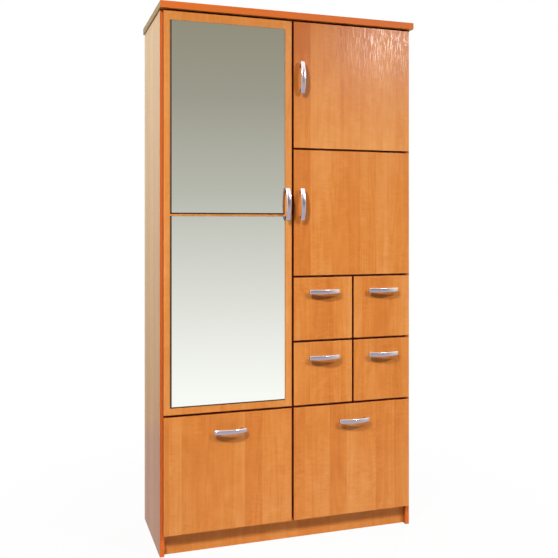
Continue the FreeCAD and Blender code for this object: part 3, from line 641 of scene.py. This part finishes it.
def screw_shape(radius, rise):
    """Pan head with a cross recess, standing on the origin."""
    half_slot, slot_reach, shoulder = 0.05 * radius, 0.45 * radius, 0.8 * radius
    recess, upper_skirt, lower_skirt = 0.6 * rise, 0.45 * rise, 0.55 * rise
    made = bmesh.new()
    bmesh.ops.create_grid(made, x_segments=5, y_segments=5, size=radius * 0.72)
    cross = []
    for face in made.faces:
        middle = face.calc_center_median()
        if min(abs(middle.x), abs(middle.y)) < half_slot and middle.length < slot_reach:
            cross.append(face)
    sunk = bmesh.ops.extrude_face_region(made, geom=cross)["geom"]
    bmesh.ops.delete(made, geom=cross, context="FACES_ONLY")
    bmesh.ops.translate(made, vec=(0, 0, -recess), verts=corners_of(sunk))
    rim = [edge for edge in made.edges if edge.is_boundary]
    for vertex in {vertex for edge in rim for vertex in edge.verts}:
        vertex.co = vertex.co.normalized() * shoulder
    lowered = bmesh.ops.extrude_edge_only(made, edges=rim)["geom"]
    skirt = corners_of(lowered)
    bmesh.ops.translate(made, vec=(0, 0, -upper_skirt), verts=skirt)
    bmesh.ops.scale(made, vec=(1.25, 1.25, 1), verts=skirt)
    foot_rim = [item for item in lowered if isinstance(item, bmesh.types.BMEdge)]
    foot = bmesh.ops.extrude_edge_only(made, edges=foot_rim)["geom"]
    bmesh.ops.translate(made, vec=(0, 0, -lower_skirt), verts=corners_of(foot))
    bmesh.ops.contextual_create(made, geom=[edge for edge in made.edges if edge.is_boundary])
    bmesh.ops.translate(made, vec=(0, 0, rise), verts=made.verts[:])
    tidy(made)
    return made


def dome_shape(radius, rise, segments=20):
    """Low round cap with a rounded rim, standing on the origin."""
    made = bmesh.new()
    bmesh.ops.create_cone(
        made, cap_ends=True, cap_tris=False, segments=segments, radius1=radius, radius2=radius, depth=rise)
    bmesh.ops.translate(made, vec=(0, 0, rise / 2), verts=made.verts[:])
    upper = [edge for edge in made.edges if all(vertex.co.z > rise * 0.9 for vertex in edge.verts)]
    bevel_edges(made, upper, rise * 0.7, segments=3)
    tidy(made)
    return made


def pane_shape(low, high, arris):
    """Glass pane with a ground arris all round its front face."""
    made = bmesh.new()
    add_block(made, low, high)
    front = [edge for edge in made.edges if all(abs(vertex.co.y - low.y) < ON_FACE for vertex in edge.verts)]
    bevel_edges(made, front, arris, segments=1)
    tidy(made)
    return made


def bead_shape(low, high, width):
    """Low bead with a rounded face, down the left edge of a pane and along its lower edge: partly a bead that
    beds the pane, partly painted shade for the pane's shadow line there.
    """
    made = bmesh.new()
    bmesh.ops.create_grid(made, x_segments=2, y_segments=2, size=0.5)
    for vertex in made.verts:
        x = low.x - width if vertex.co.x < -0.1 else low.x if vertex.co.x < 0.1 else high.x
        z = low.z - 0.8 * width if vertex.co.y < -0.1 else low.z if vertex.co.y < 0.1 else high.z
        vertex.co = (x, high.y, z)
    middles = {face: face.calc_center_median() for face in made.faces}
    inner = [face for face, middle in middles.items() if middle.x > low.x and middle.z > low.z]
    bmesh.ops.delete(made, geom=inner, context="FACES")
    grown = bmesh.ops.extrude_face_region(made, geom=made.faces[:])["geom"]
    bmesh.ops.translate(made, vec=(0, -BEAD_RISE, 0), verts=corners_of(grown))
    tidy(made)
    outer = [
        edge for edge in made.edges
        if all(abs(vertex.co.y - high.y + BEAD_RISE) < ON_FACE for vertex in edge.verts)
        and edge.calc_face_angle(0) > CORNER
        and (all(vertex.co.x < low.x - 0.5 * width for vertex in edge.verts)
             or all(vertex.co.z < low.z - 0.4 * width for vertex in edge.verts))
    ]
    bevel_edges(made, outer, 0.8 * BEAD_RISE, segments=3)
    tidy(made)
    return made


def arc(made, reach, level, rise, steps):
    """Vertices of an arc from end to end: half its chord, the level of its ends and its rise."""
    radius = (reach ** 2 + rise ** 2) / (2 * rise)
    start = made.verts.new((reach, level, 0))
    bmesh.ops.spin(
        made, geom=[start], cent=(0, level + rise - radius, 0), axis=(0, 0, 1),
        angle=2 * math.asin(reach / radius), steps=steps)


def bow_shape(low, high, upright, fittings):
    """Strip bent to an arc, with rounded outer edges, on two legs."""
    made = bmesh.new()
    lengthwise = 2 if upright else 0
    reach = (high[lengthwise] - low[lengthwise]) / 2
    crown = high.y - low.y
    rise = crown - fittings.handle_end
    radius = (reach ** 2 + rise ** 2) / (2 * rise)
    width = high[2 - lengthwise] - low[2 - lengthwise]
    arc(made, reach, fittings.handle_end, rise, BOW_STEPS)
    arc(made, reach, fittings.handle_end - fittings.handle_strip, rise, BOW_STEPS)
    bmesh.ops.bridge_loops(made, edges=made.edges[:])
    grown = bmesh.ops.extrude_face_region(made, geom=made.faces[:])["geom"]
    bmesh.ops.translate(made, vec=(0, 0, width), verts=corners_of(grown))
    bmesh.ops.translate(made, vec=(0, 0, -width / 2), verts=made.verts[:])
    tidy(made)
    centre = Vector((0, crown - radius))
    outer = []
    inner = []
    for edge in made.edges:
        if edge.calc_face_angle(0) > CORNER:
            on_outside = [abs((vertex.co.xy - centre).length - radius) < ON_ARC for vertex in edge.verts]
            (outer if all(on_outside) else inner).append(edge)
    bevel_edges(made, outer, fittings.handle_round, segments=6)
    inner = [edge for edge in inner if edge.is_valid]
    bevel_edges(made, inner, fittings.handle_inner_round, segments=2)
    for side in (-1, 1):
        add_leg(made, side, crown, radius, fittings)
    turn = Matrix(((1, 0, 0), (0, -1, 0), (0, 0, 1)))
    if upright:
        turn = Matrix(((0, 0, 1), (0, -1, 0), (1, 0, 0)))
    middle = (low + high) / 2
    place = Matrix.Translation(Vector((middle.x, high.y, middle.z))) @ turn.to_4x4()
    bmesh.ops.transform(made, matrix=place, verts=made.verts[:])
    bmesh.ops.recalc_face_normals(made, faces=made.faces[:])
    return made


def add_leg(made, side, crown, radius, fittings):
    """Square leg with rounded corners, from the front to the middle of the bent strip."""
    half = fittings.handle_leg / 2
    middle = side * fittings.handle_holes / 2
    leg = bmesh.new()
    add_block(leg, Vector((middle - half, 0, -half)), Vector((middle + half, 1, half)))
    for vertex in leg.verts:
        if vertex.co.y > 0.5:
            vertex.co.y = crown - fittings.handle_strip / 2 - radius + math.sqrt(radius ** 2 - vertex.co.x ** 2)
    long_edges = [edge for edge in leg.edges if abs(edge.verts[0].co.y - edge.verts[1].co.y) > half]
    bevel_edges(leg, long_edges, 0.22 * fittings.handle_leg, segments=3)
    tidy(leg)
    pattern = bpy.data.meshes.new("leg")
    leg.to_mesh(pattern)
    leg.free()
    made.from_mesh(pattern)
    bpy.data.meshes.remove(pattern)


def box_shape(low, high, edge_round):
    """Drawer box: two sides, a back between them and a thin bottom, each a closed board."""
    above = low.z + BOX_SHEET
    left = low.x + BOX_BOARD
    right = high.x - BOX_BOARD
    back = high.y - BOX_BOARD
    boards = (
        (Vector((low.x, low.y, above)), Vector((left, high.y, high.z))),
        (Vector((right, low.y, above)), high),
        (Vector((left + BOX_JOINT, back, above)), Vector((right - BOX_JOINT, high.y, high.z))),
        (low, Vector((high.x, high.y, above - BOX_JOINT))),
    )
    made = bmesh.new()
    for first, last in boards:
        add_block(made, first, last)
    bevel_edges(made, made.edges[:], edge_round, segments=2)
    bmesh.ops.recalc_face_normals(made, faces=made.faces[:])
    return made


def liner_shape(radius):
    """Thin sleeve in the mouth of a shelf hole, with a flat dark disc inside: painted shade for the hole's shaded
    bore.
    """
    made = bmesh.new()
    bmesh.ops.create_cone(
        made, cap_ends=True, cap_tris=False, segments=14, radius1=radius * 1.3, radius2=radius * 1.25,
        depth=LINER_RISE)
    bmesh.ops.translate(made, vec=(0, 0, LINER_RISE / 2), verts=made.verts[:])
    upper = max(made.faces, key=lambda face: face.calc_center_median().z)
    bmesh.ops.inset_region(made, faces=[upper], thickness=radius * 0.35)
    bmesh.ops.translate(made, vec=(0, 0, -LINER_SINK), verts=upper.verts[:])
    # Painted shade: the sunk middle takes the dark colour of a shaded bore
    upper.material_index = 1
    bmesh.ops.recalc_face_normals(made, faces=made.faces[:])
    return made


def strip_shape(low, high):
    """Flat strip with rounded rear edges, over the joint behind the back sheets."""
    half = STRIP_WIDTH / 2
    made = bmesh.new()
    add_block(made, Vector((-half, high.y, low.z)), Vector((half, high.y + STRIP_RISE, high.z)))
    middle = high.y + STRIP_RISE / 2
    rear = [edge for edge in made.edges if all(vertex.co.y > middle for vertex in edge.verts)]
    bevel_edges(made, rear, STRIP_ROUND, segments=3)
    tidy(made)
    return made


def evenly(first, last, count):
    """Values from first to last, in even steps."""
    return [first + (last - first) * number / (count - 1) for number in range(count)]


def steps_between(first, last, pitch):
    """Values from first to last, in even steps close to a pitch."""
    return evenly(first, last, max(2, round((last - first) / pitch) + 1))


# Operators


class CHIFFOROBE_OT_boards(bpy.types.Operator):
    """Give the carcass boards their laminate and rounded edges"""
    bl_idname = "chifforobe.boards"
    bl_label = "Carcass boards"

    def execute(self, context):
        edge_round = context.scene.chifforobe_fittings.edge_round
        finish = context.scene.chifforobe_finish
        for number, name in enumerate(UPRIGHT_BOARDS):
            staves = in_metres(PLINTH_STAVES) if name == "plinth_board" else None
            # Painted shade: some boards are darker or lighter for how the lamps light them
            shade = PAINTED_BOARD_SHADES.get(name, 1.0)
            dress(name, alder(name, "Z", finish.alder_edge, staves, UPRIGHT_SEED * number, shade), edge_round)
        for number, name in enumerate(LYING_BOARDS):
            seed = LYING_START + LYING_SEED * number
            if name == "top_panel":
                laminate = alder(name, "X", finish.top_edge, seed=seed, edge_dull=0.15, end_shade_colour=finish.top_end_shade)
            else:
                laminate = alder(name, "X", finish.alder_edge, seed=seed)
            dress(name, laminate, edge_round)
        return {"FINISHED"}


class CHIFFOROBE_OT_fronts(bpy.types.Operator):
    """Give the doors and drawer fronts their laminate and rounded edges"""
    bl_idname = "chifforobe.fronts"
    bl_label = "Doors and drawer fronts"

    def execute(self, context):
        edge_round = context.scene.chifforobe_fittings.edge_round
        # Partly painted shade: these dark bands also stand for the shade in the gaps
        edge = context.scene.chifforobe_finish.front_band_and_gap_shade
        for number, (name, staves) in enumerate(FRONT_STAVES.items()):
            laminate = alder(
                name, "Z", edge, in_metres(staves), seed=FRONT_SEED * number,
                shade_climb=FRONT_PAINTED_SHADE_CLIMB.get(name, 0.0), lacquer=FRONT_LACQUER)
            dress(name, laminate, edge_round)
        return {"FINISHED"}


class CHIFFOROBE_OT_mirrors(bpy.types.Operator):
    """Make the two silvered panes on the tall door, and the dark beads that bed them and stand partly for their
    shadow lines
    """
    bl_idname = "chifforobe.mirrors"
    bl_label = "Mirror panes"

    def execute(self, context):
        finish = context.scene.chifforobe_finish
        fittings = context.scene.chifforobe_fittings
        silver, tree = new_material("silvered_glass")
        haze = noise(tree, object_place(tree), even(6.0))
        surface(tree, {
            "Base Color": full(finish.silver),
            "Metallic": 1.0,
            "Roughness": varied(tree, haze, middle=0.010, width=0.012),
        })
        edge = coat("ground_glass_edge", finish.glass_edge, rough=0.25, scale=even(500.0), depth=0.03)
        shade_bead = coat("mirror_bedding", finish.shade_bead, rough=0.55, scale=even(250.0))
        back = coat("mirror_backing", finish.mirror_back, rough=0.5, scale=even(200.0))
        for name in ("lower_mirror", "upper_mirror"):
            low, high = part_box(name)
            pane = pane_shape(low, high, fittings.arris)
            for face in pane.faces:
                if face.normal.y > 0.9:
                    face.material_index = 2
                elif face.normal.y > -0.9:
                    face.material_index = 1
            keep(f"{name}_pane", pane, (silver, edge, back), "mirror_door", (name,))
            # Partly painted shade: the dark bead draws the pane's shadow line on its left and lower edges
            bead = bead_shape(low, high, fittings.shade_bead)
            keep(f"{name}_bedding", bead, (shade_bead,), "mirror_door")
        return {"FINISHED"}


class CHIFFOROBE_OT_handles(bpy.types.Operator):
    """Make the nine bow handles and their screws behind the fronts"""
    bl_idname = "chifforobe.handles"
    bl_label = "Bow handles"

    def execute(self, context):
        finish = context.scene.chifforobe_finish
        fittings = context.scene.chifforobe_fittings
        brushes = {"upright": (700.0, 700.0, 12.0), "level": (12.0, 700.0, 700.0)}
        metals = {
            way: metal(f"satin_metal_{way}", finish.handle, finish.handle_gloss, brush, relief_strength=0.004)
            for way, brush in brushes.items()
        }
        nickel = metal("handle_screw_nickel", finish.nickel, rough=0.3)
        for body in DOORS + DRAWERS:
            name = f"{body}_handle"
            low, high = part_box(name)
            upright = body in DOORS
            bow = bow_shape(low, high, upright, fittings)
            satin = metals["upright" if upright else "level"]
            keep(f"{name}_bow", bow, (satin,), body, (name,))
            front = f"{body}_panel" if upright else f"{body}_front"
            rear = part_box(front)[1].y
            middle = (low + high) / 2
            reach = fittings.handle_holes / 2
            along = Vector((0, 0, reach)) if upright else Vector((reach, 0, 0))
            places = [
                stood((0, 1, 0), Vector((middle.x, rear, middle.z)) + side * along) for side in (-1, 1)
            ]
            keep(f"{name}_screws", screws(places), (nickel,), body)
        return {"FINISHED"}


class CHIFFOROBE_OT_hinges(bpy.types.Operator):
    """Finish the cup hinges and add their screws and the door bumpers"""
    bl_idname = "chifforobe.hinges"
    bl_label = "Hinges"

    def execute(self, context):
        finish = context.scene.chifforobe_finish
        bumper = context.scene.chifforobe_fittings.bumper
        nickel = metal("hinge_nickel", finish.nickel, rough=0.26)
        clear = coat("bumper_plastic", finish.bumper, rough=0.35)
        dress("hinge_arms", nickel)
        dress("hinge_plates", nickel)
        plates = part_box("hinge_plates")
        plate_depth = (plates[0].y + plates[1].y) / 2
        arm_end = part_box("hinge_arms")[1].y
        wall_places = []
        for door, count in HINGES.items():
            hand = 1 if door == "mirror_door" else -1
            cups = f"{door}_hinge_cups"
            dress(cups, nickel)
            low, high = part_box(cups)
            levels = evenly(low.z + FLANGE / 2, high.z - FLANGE / 2, count)
            middle = (low.x + high.x) / 2
            door_places = [
                stood((0, 1, 0), (middle, high.y, level + side * FLANGE_SCREW))
                for level in levels for side in (-1, 1)
            ]
            keep(f"{door}_cup_screws", screws(door_places), (nickel,), door)
            wall = plates[0].x if hand == 1 else plates[1].x
            for level in levels:
                for side in (-1, 1):
                    wing = (wall + hand * PLATE_WING, plate_depth, level + side * PLATE_REACH)
                    wall_places.append(stood((hand, 0, 0), wing))
                for back in ARM_SCREWS:
                    tail = (wall + hand * ARM_FACE, arm_end - back, level)
                    wall_places.append(stood((hand, 0, 0), tail))
            panel_low, panel_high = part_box(f"{door}_panel")
            free = panel_high.x - bumper if hand == 1 else panel_low.x + bumper
            corners = (panel_low.z + 2 * bumper, panel_high.z - 2 * bumper)
            bumpers = repeat(
                dome_shape(bumper, BUMPER_RISE),
                [stood((0, 1, 0), (free, panel_high.y, level)) for level in corners])
            keep(f"{door}_bumpers", bumpers, (clear,), door)
        keep("hinge_plate_screws", screws(wall_places), (nickel,), "carcass")
        return {"FINISHED"}


class CHIFFOROBE_OT_drawer_boxes(bpy.types.Operator):
    """Make the drawer boxes, finish their runners, and add the runners' screws and the connector caps"""
    bl_idname = "chifforobe.drawer_boxes"
    bl_label = "Drawer boxes and runners"

    def execute(self, context):
        finish = context.scene.chifforobe_finish
        fittings = context.scene.chifforobe_fittings
        foil = coat("drawer_foil", finish.foil, rough=0.5, scale=(40.0, 400.0, 400.0))
        white = coat("runner_powder_coat", finish.runner, rough=0.4, scale=even(900.0))
        zinc = metal("runner_screw_zinc", finish.nickel, rough=0.32)
        cover = coat("connector_cover", finish.foil, rough=0.4)
        dress("cabinet_runners", white)
        wall_places = []
        for drawer in DRAWERS:
            box_low, box_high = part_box(f"{drawer}_box")
            boards = box_shape(box_low, box_high, fittings.edge_round)
            keep(f"{drawer}_box_boards", boards, (foil,), drawer, (f"{drawer}_box",))
            dress(f"{drawer}_runners", white)
            low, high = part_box(f"{drawer}_runners")
            drawer_places = []
            for hand, wall in ((1, low.x - RUNNER_PLAY), (-1, high.x + RUNNER_PLAY)):
                fixed = wall + hand * RUNNER_SHEET
                sliding = wall + hand * (RUNNER_SPACE - RUNNER_SHEET)
                for back in RUNNER_SCREWS:
                    y = low.y + back
                    wall_places.append(stood((hand, 0, 0), (fixed, y, box_low.z + FIXED_SCREW)))
                    drawer_places.append(stood((-hand, 0, 0), (sliding, y, box_low.z + SLIDING_SCREW)))
            keep(f"{drawer}_runner_screws", screws(drawer_places), (zinc,), drawer)
            inner_faces = ((1, box_low.x + BOX_BOARD), (-1, box_high.x - BOX_BOARD))
            levels = (box_low.z + CONNECTOR_INSET, box_high.z - CONNECTOR_INSET)
            covers = repeat(dome_shape(fittings.cap, CAP_RISE, segments=28), [
                stood((hand, 0, 0), (inside, box_low.y + CONNECTOR_BACK, level))
                for hand, inside in inner_faces for level in levels
            ])
            keep(f"{drawer}_connector_caps", covers, (cover,), drawer)
        keep("cabinet_runner_screws", screws(wall_places), (zinc,), "carcass")
        return {"FINISHED"}


class CHIFFOROBE_OT_interior(bpy.types.Operator):
    """Finish the hanging rail and the shelf pegs, and add collars, hole liners and fastener caps"""
    bl_idname = "chifforobe.interior"
    bl_label = "Rail, pegs and caps"

    def execute(self, context):
        finish = context.scene.chifforobe_finish
        self.rail(metal("rail_plating", finish.chrome, rough=0.14))
        plastic = coat("brown_plastic", finish.plastic, rough=0.42)
        nickel = metal("peg_nickel", finish.nickel, rough=0.24)
        # Painted shade for the insides of the shelf holes
        dark = coat("dark_bore", finish.bore, rough=0.8)
        self.pegs(nickel, plastic, dark)
        caps = repeat(
            dome_shape(context.scene.chifforobe_fittings.cap, CAP_RISE, segments=28),
            [stood(direction, place) for direction, place in self.cap_places()])
        keep("fastener_caps", caps, (plastic,), "carcass")
        return {"FINISHED"}

    def rail(self, chrome):
        """Hanging rail with its end caps, and its brackets with their screws."""
        dress("hanger_rail", chrome)
        dress("rail_brackets", chrome)
        low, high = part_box("rail_brackets")
        foot_screws = [
            stood((0, 0, -1), (x, y, high.z - BRACKET_FOOT))
            for x in (low.x + BRACKET_SCREW, high.x - BRACKET_SCREW)
            for y in (low.y + BRACKET_WIDTH / 2, high.y - BRACKET_WIDTH / 2)
        ]
        keep("rail_bracket_screws", screws(foot_screws), (chrome,), "carcass")
        low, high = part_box("hanger_rail")
        middle = (low + high) / 2
        ends = repeat(dome_shape((high.x - low.x) / 2, RAIL_CAP_RISE, segments=32), [
            stood((0, way, 0), (middle.x, y, middle.z)) for way, y in ((-1, low.y), (1, high.y))
        ])
        keep("rail_end_caps", ends, (chrome,), "carcass")

    def pegs(self, nickel, plastic, dark):
        """Pegs of the loose shelves with their collars, and the free holes above and below them."""
        dress("shelf_pegs", nickel)
        walls = ((1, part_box("centre_partition")[1].x), (-1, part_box("right_side_panel")[0].x))
        collars = []
        liners = []
        for name in LOOSE_SHELVES:
            low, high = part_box(name)
            level = low.z - PEG / 2
            for hand, wall in walls:
                for y in (low.y + PEG_INSET, high.y - PEG_INSET):
                    collars.append(stood((hand, 0, 0), (wall, y, level)))
                    for number in HOLES:
                        liners.append(stood((hand, 0, 0), (wall, y, level + number * HOLE_PITCH)))
        rings = repeat(dome_shape(COLLAR, COLLAR_RISE), collars)
        keep("peg_collars", rings, (nickel,), "carcass")
        keep("hole_liners", repeat(liner_shape(PEG / 2), liners), (plastic, dark), "carcass")

    def cap_places(self):
        """Caps under the fixed shelves and on the uprights under the top panel."""
        left_low, left_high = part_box("left_side_panel")
        under_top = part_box("top_panel")[0].z - CAP_DROP
        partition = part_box("centre_partition")
        faces = (
            (1, left_high.x), (-1, partition[0].x),
            (1, partition[1].x), (-1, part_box("right_side_panel")[0].x),
        )
        for y in (left_low.y + CAP_INSET, left_high.y - CAP_INSET):
            for hand, wall in faces:
                yield (hand, 0, 0), (wall, y, under_top)
            for name in FIXED_SHELVES:
                low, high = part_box(name)
                for x in (low.x + CAP_DROP, high.x - CAP_DROP):
                    yield (0, 0, -1), (x, y, low.z)


class CHIFFOROBE_OT_back(bpy.types.Operator):
    """Finish the back sheets and add their nails and the strip over their joint"""
    bl_idname = "chifforobe.back"
    bl_label = "Back"

    def execute(self, context):
        finish = context.scene.chifforobe_finish
        fittings = context.scene.chifforobe_fittings
        nail = metal("nail_steel", finish.nickel, rough=0.4)
        plastic = coat("joint_plastic", finish.plastic, rough=0.45)
        places = []
        for name in ("left_back_sheet", "right_back_sheet"):
            dress(name, hardboard(name))
            low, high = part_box(name)
            columns = steps_between(low.x + NAIL_INSET, high.x - NAIL_INSET, fittings.nail_pitch)
            rows = steps_between(low.z + NAIL_INSET, high.z - NAIL_INSET, fittings.nail_pitch)
            spots = {(x, z) for x in columns for z in (rows[0], rows[-1])}
            outside = columns[0] if name.startswith("left") else columns[-1]
            spots |= {(outside, z) for z in rows}
            places += [stood((0, 1, 0), (x, high.y, z)) for x, z in sorted(spots)]
        heads = repeat(dome_shape(fittings.nail, NAIL_RISE, segments=10), places)
        keep("back_nails", heads, (nail,), "carcass")
        strip = strip_shape(*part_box("left_back_sheet"))
        keep("back_joint_strip", strip, (plastic,), "carcass")
        return {"FINISHED"}


class CHIFFOROBE_OT_stage(bpy.types.Operator):
    """Make the floor, the lamps, the room's light and the camera"""
    bl_idname = "chifforobe.stage"
    bl_label = "Stage"

    def execute(self, context):
        stage = context.scene.chifforobe_stage
        self.floor(stage)
        self.room(stage)
        for name, (place, aim) in LAMPS.items():
            self.lamp(name, Vector(place), Vector(aim), getattr(stage, name), stage.lamp_width)
        data = bpy.data.cameras.new("camera")
        data.lens = stage.lens
        data.shift_y = stage.rise
        camera = bpy.data.objects.new("camera", data)
        camera.location = stage.camera_place
        camera.rotation_euler = (math.radians(90), 0, -stage.camera_turn)
        context.scene.collection.objects.link(camera)
        context.scene.camera = camera
        context.scene.view_settings.view_transform = "Standard"
        return {"FINISHED"}

    def floor(self, stage):
        """Pale floor, white to the lens but for the shadow on it."""
        made = bmesh.new()
        bmesh.ops.create_grid(made, x_segments=1, y_segments=1, size=stage.floor_size)
        bmesh.ops.translate(made, vec=(0, 0, -FLOOR_DROP), verts=made.verts[:])
        mesh = bpy.data.meshes.new("floor")
        made.to_mesh(mesh)
        made.free()
        floor = bpy.data.objects.new("floor", mesh)
        bpy.context.scene.collection.objects.link(floor)
        material, tree = new_material("white_floor")
        away = put(tree, "ShaderNodeVectorMath", {0: object_place(tree)}, operation="LENGTH").outputs["Value"]
        start, end = FLOOR_FADE
        fade = spread(
            tree, away, start, stage.floor_size * end, stage.floor_white, 1.0, interpolation_type="SMOOTHSTEP")
        seen = self.seen(tree)
        white = put(tree, "ShaderNodeEmission", {"Color": (1, 1, 1, 1), "Strength": 1.0}).outputs[0]
        matt = put(tree, "ShaderNodeBsdfDiffuse", {"Color": FLOOR_MATT}).outputs[0]
        mixed = put(tree, "ShaderNodeMixShader", {0: calc(tree, "MULTIPLY", fade, seen), 1: matt, 2: white})
        put(tree, "ShaderNodeOutputMaterial", {"Surface": mixed.outputs[0]})
        mesh.materials.append(material)

    def seen(self, tree):
        """1 for rays from the lens and for those that metal and glass send on."""
        path = put(tree, "ShaderNodeLightPath").outputs
        total = calc(tree, "ADD", path["Is Camera Ray"], path["Is Glossy Ray"])
        return calc(tree, "MINIMUM", calc(tree, "ADD", total, path["Is Transmission Ray"]), 1.0)

    def room(self, stage):
        """Light from all round, and the room that the mirrors and the metal show."""
        world = bpy.data.worlds.new("room")
        bpy.context.scene.world = world
        world.use_nodes = True
        tree = world.node_tree
        tree.nodes.clear()
        place = put(tree, "ShaderNodeTexCoord").outputs["Generated"]
        parts = put(tree, "ShaderNodeSeparateXYZ", {0: place}).outputs
        ahead = ramp(tree, spread(tree, parts[2], *ROOM_HEIGHTS), (
            (0.0, stage.room_low), (0.55, stage.room_level), (0.8, stage.room_high), (1.0, stage.room_top)))
        ceiling = between(tree, spread(tree, parts[2], *CEILING_HEIGHTS), ahead, even(stage.ceiling))
        level = spread(tree, parts[2], *GLOW_HEIGHTS, stage.low_glow, stage.high_glow)
        walls = brightened(tree, stage.wall, level)
        around = between(tree, spread(tree, parts[1], *SIDE_DEPTHS), ceiling, walls)
        lens = put(tree, "ShaderNodeLightPath").outputs["Is Camera Ray"]
        shown = between(tree, lens, around, even(1.0))
        strength = spread(tree, self.seen(tree), 0.0, 1.0, stage.surround, 1.0)
        light = put(tree, "ShaderNodeBackground", {"Color": shown, "Strength": strength})
        put(tree, "ShaderNodeOutputWorld", {"Surface": light.outputs[0]})

    def lamp(self, name, place, aim, energy, width):
        """Square lamp that the lens doesn't see."""
        data = bpy.data.lights.new(name, "AREA")
        data.energy = energy
        data.shape = "SQUARE"
        data.size = width
        data.spread = LAMP_SPREAD
        lamp = bpy.data.objects.new(name, data)
        lamp.location = place
        lamp.rotation_euler = (aim - place).to_track_quat("-Z", "Y").to_euler()
        lamp.visible_camera = False
        bpy.context.scene.collection.objects.link(lamp)


OPERATORS = (
    CHIFFOROBE_OT_boards, CHIFFOROBE_OT_fronts, CHIFFOROBE_OT_mirrors, CHIFFOROBE_OT_handles,
    CHIFFOROBE_OT_hinges, CHIFFOROBE_OT_drawer_boxes, CHIFFOROBE_OT_interior, CHIFFOROBE_OT_back,
    CHIFFOROBE_OT_stage,
)
SETTINGS = {
    "chifforobe_finish": CHIFFOROBE_PG_finish,
    "chifforobe_fittings": CHIFFOROBE_PG_fittings,
    "chifforobe_stage": CHIFFOROBE_PG_stage,
}


class CHIFFOROBE_PT_panel(bpy.types.Panel):
    """Settings and steps of the chifforobe"""
    bl_label = "Chifforobe"
    bl_idname = "CHIFFOROBE_PT_panel"
    bl_space_type = "VIEW_3D"
    bl_region_type = "UI"
    bl_category = "Chifforobe"

    def draw(self, context):
        for operator in OPERATORS:
            self.layout.operator(operator.bl_idname)
        for name in SETTINGS:
            group = getattr(context.scene, name)
            box = self.layout.box()
            for key in group.__annotations__:
                box.prop(group, key)


CLASSES = (*SETTINGS.values(), *OPERATORS, CHIFFOROBE_PT_panel)


def register():
    for cls in CLASSES:
        bpy.utils.register_class(cls)
    for name, group in SETTINGS.items():
        setattr(bpy.types.Scene, name, PointerProperty(type=group))


def unregister():
    for name in SETTINGS:
        delattr(bpy.types.Scene, name)
    for cls in reversed(CLASSES):
        bpy.utils.unregister_class(cls)


def main():
    register()
    bpy.ops.chifforobe.boards()
    bpy.ops.chifforobe.fronts()
    bpy.ops.chifforobe.mirrors()
    bpy.ops.chifforobe.handles()
    bpy.ops.chifforobe.hinges()
    bpy.ops.chifforobe.drawer_boxes()
    bpy.ops.chifforobe.interior()
    bpy.ops.chifforobe.back()
    bpy.ops.chifforobe.stage()
    bpy.context.view_layer.update()


if __name__ == "__main__":
    main()
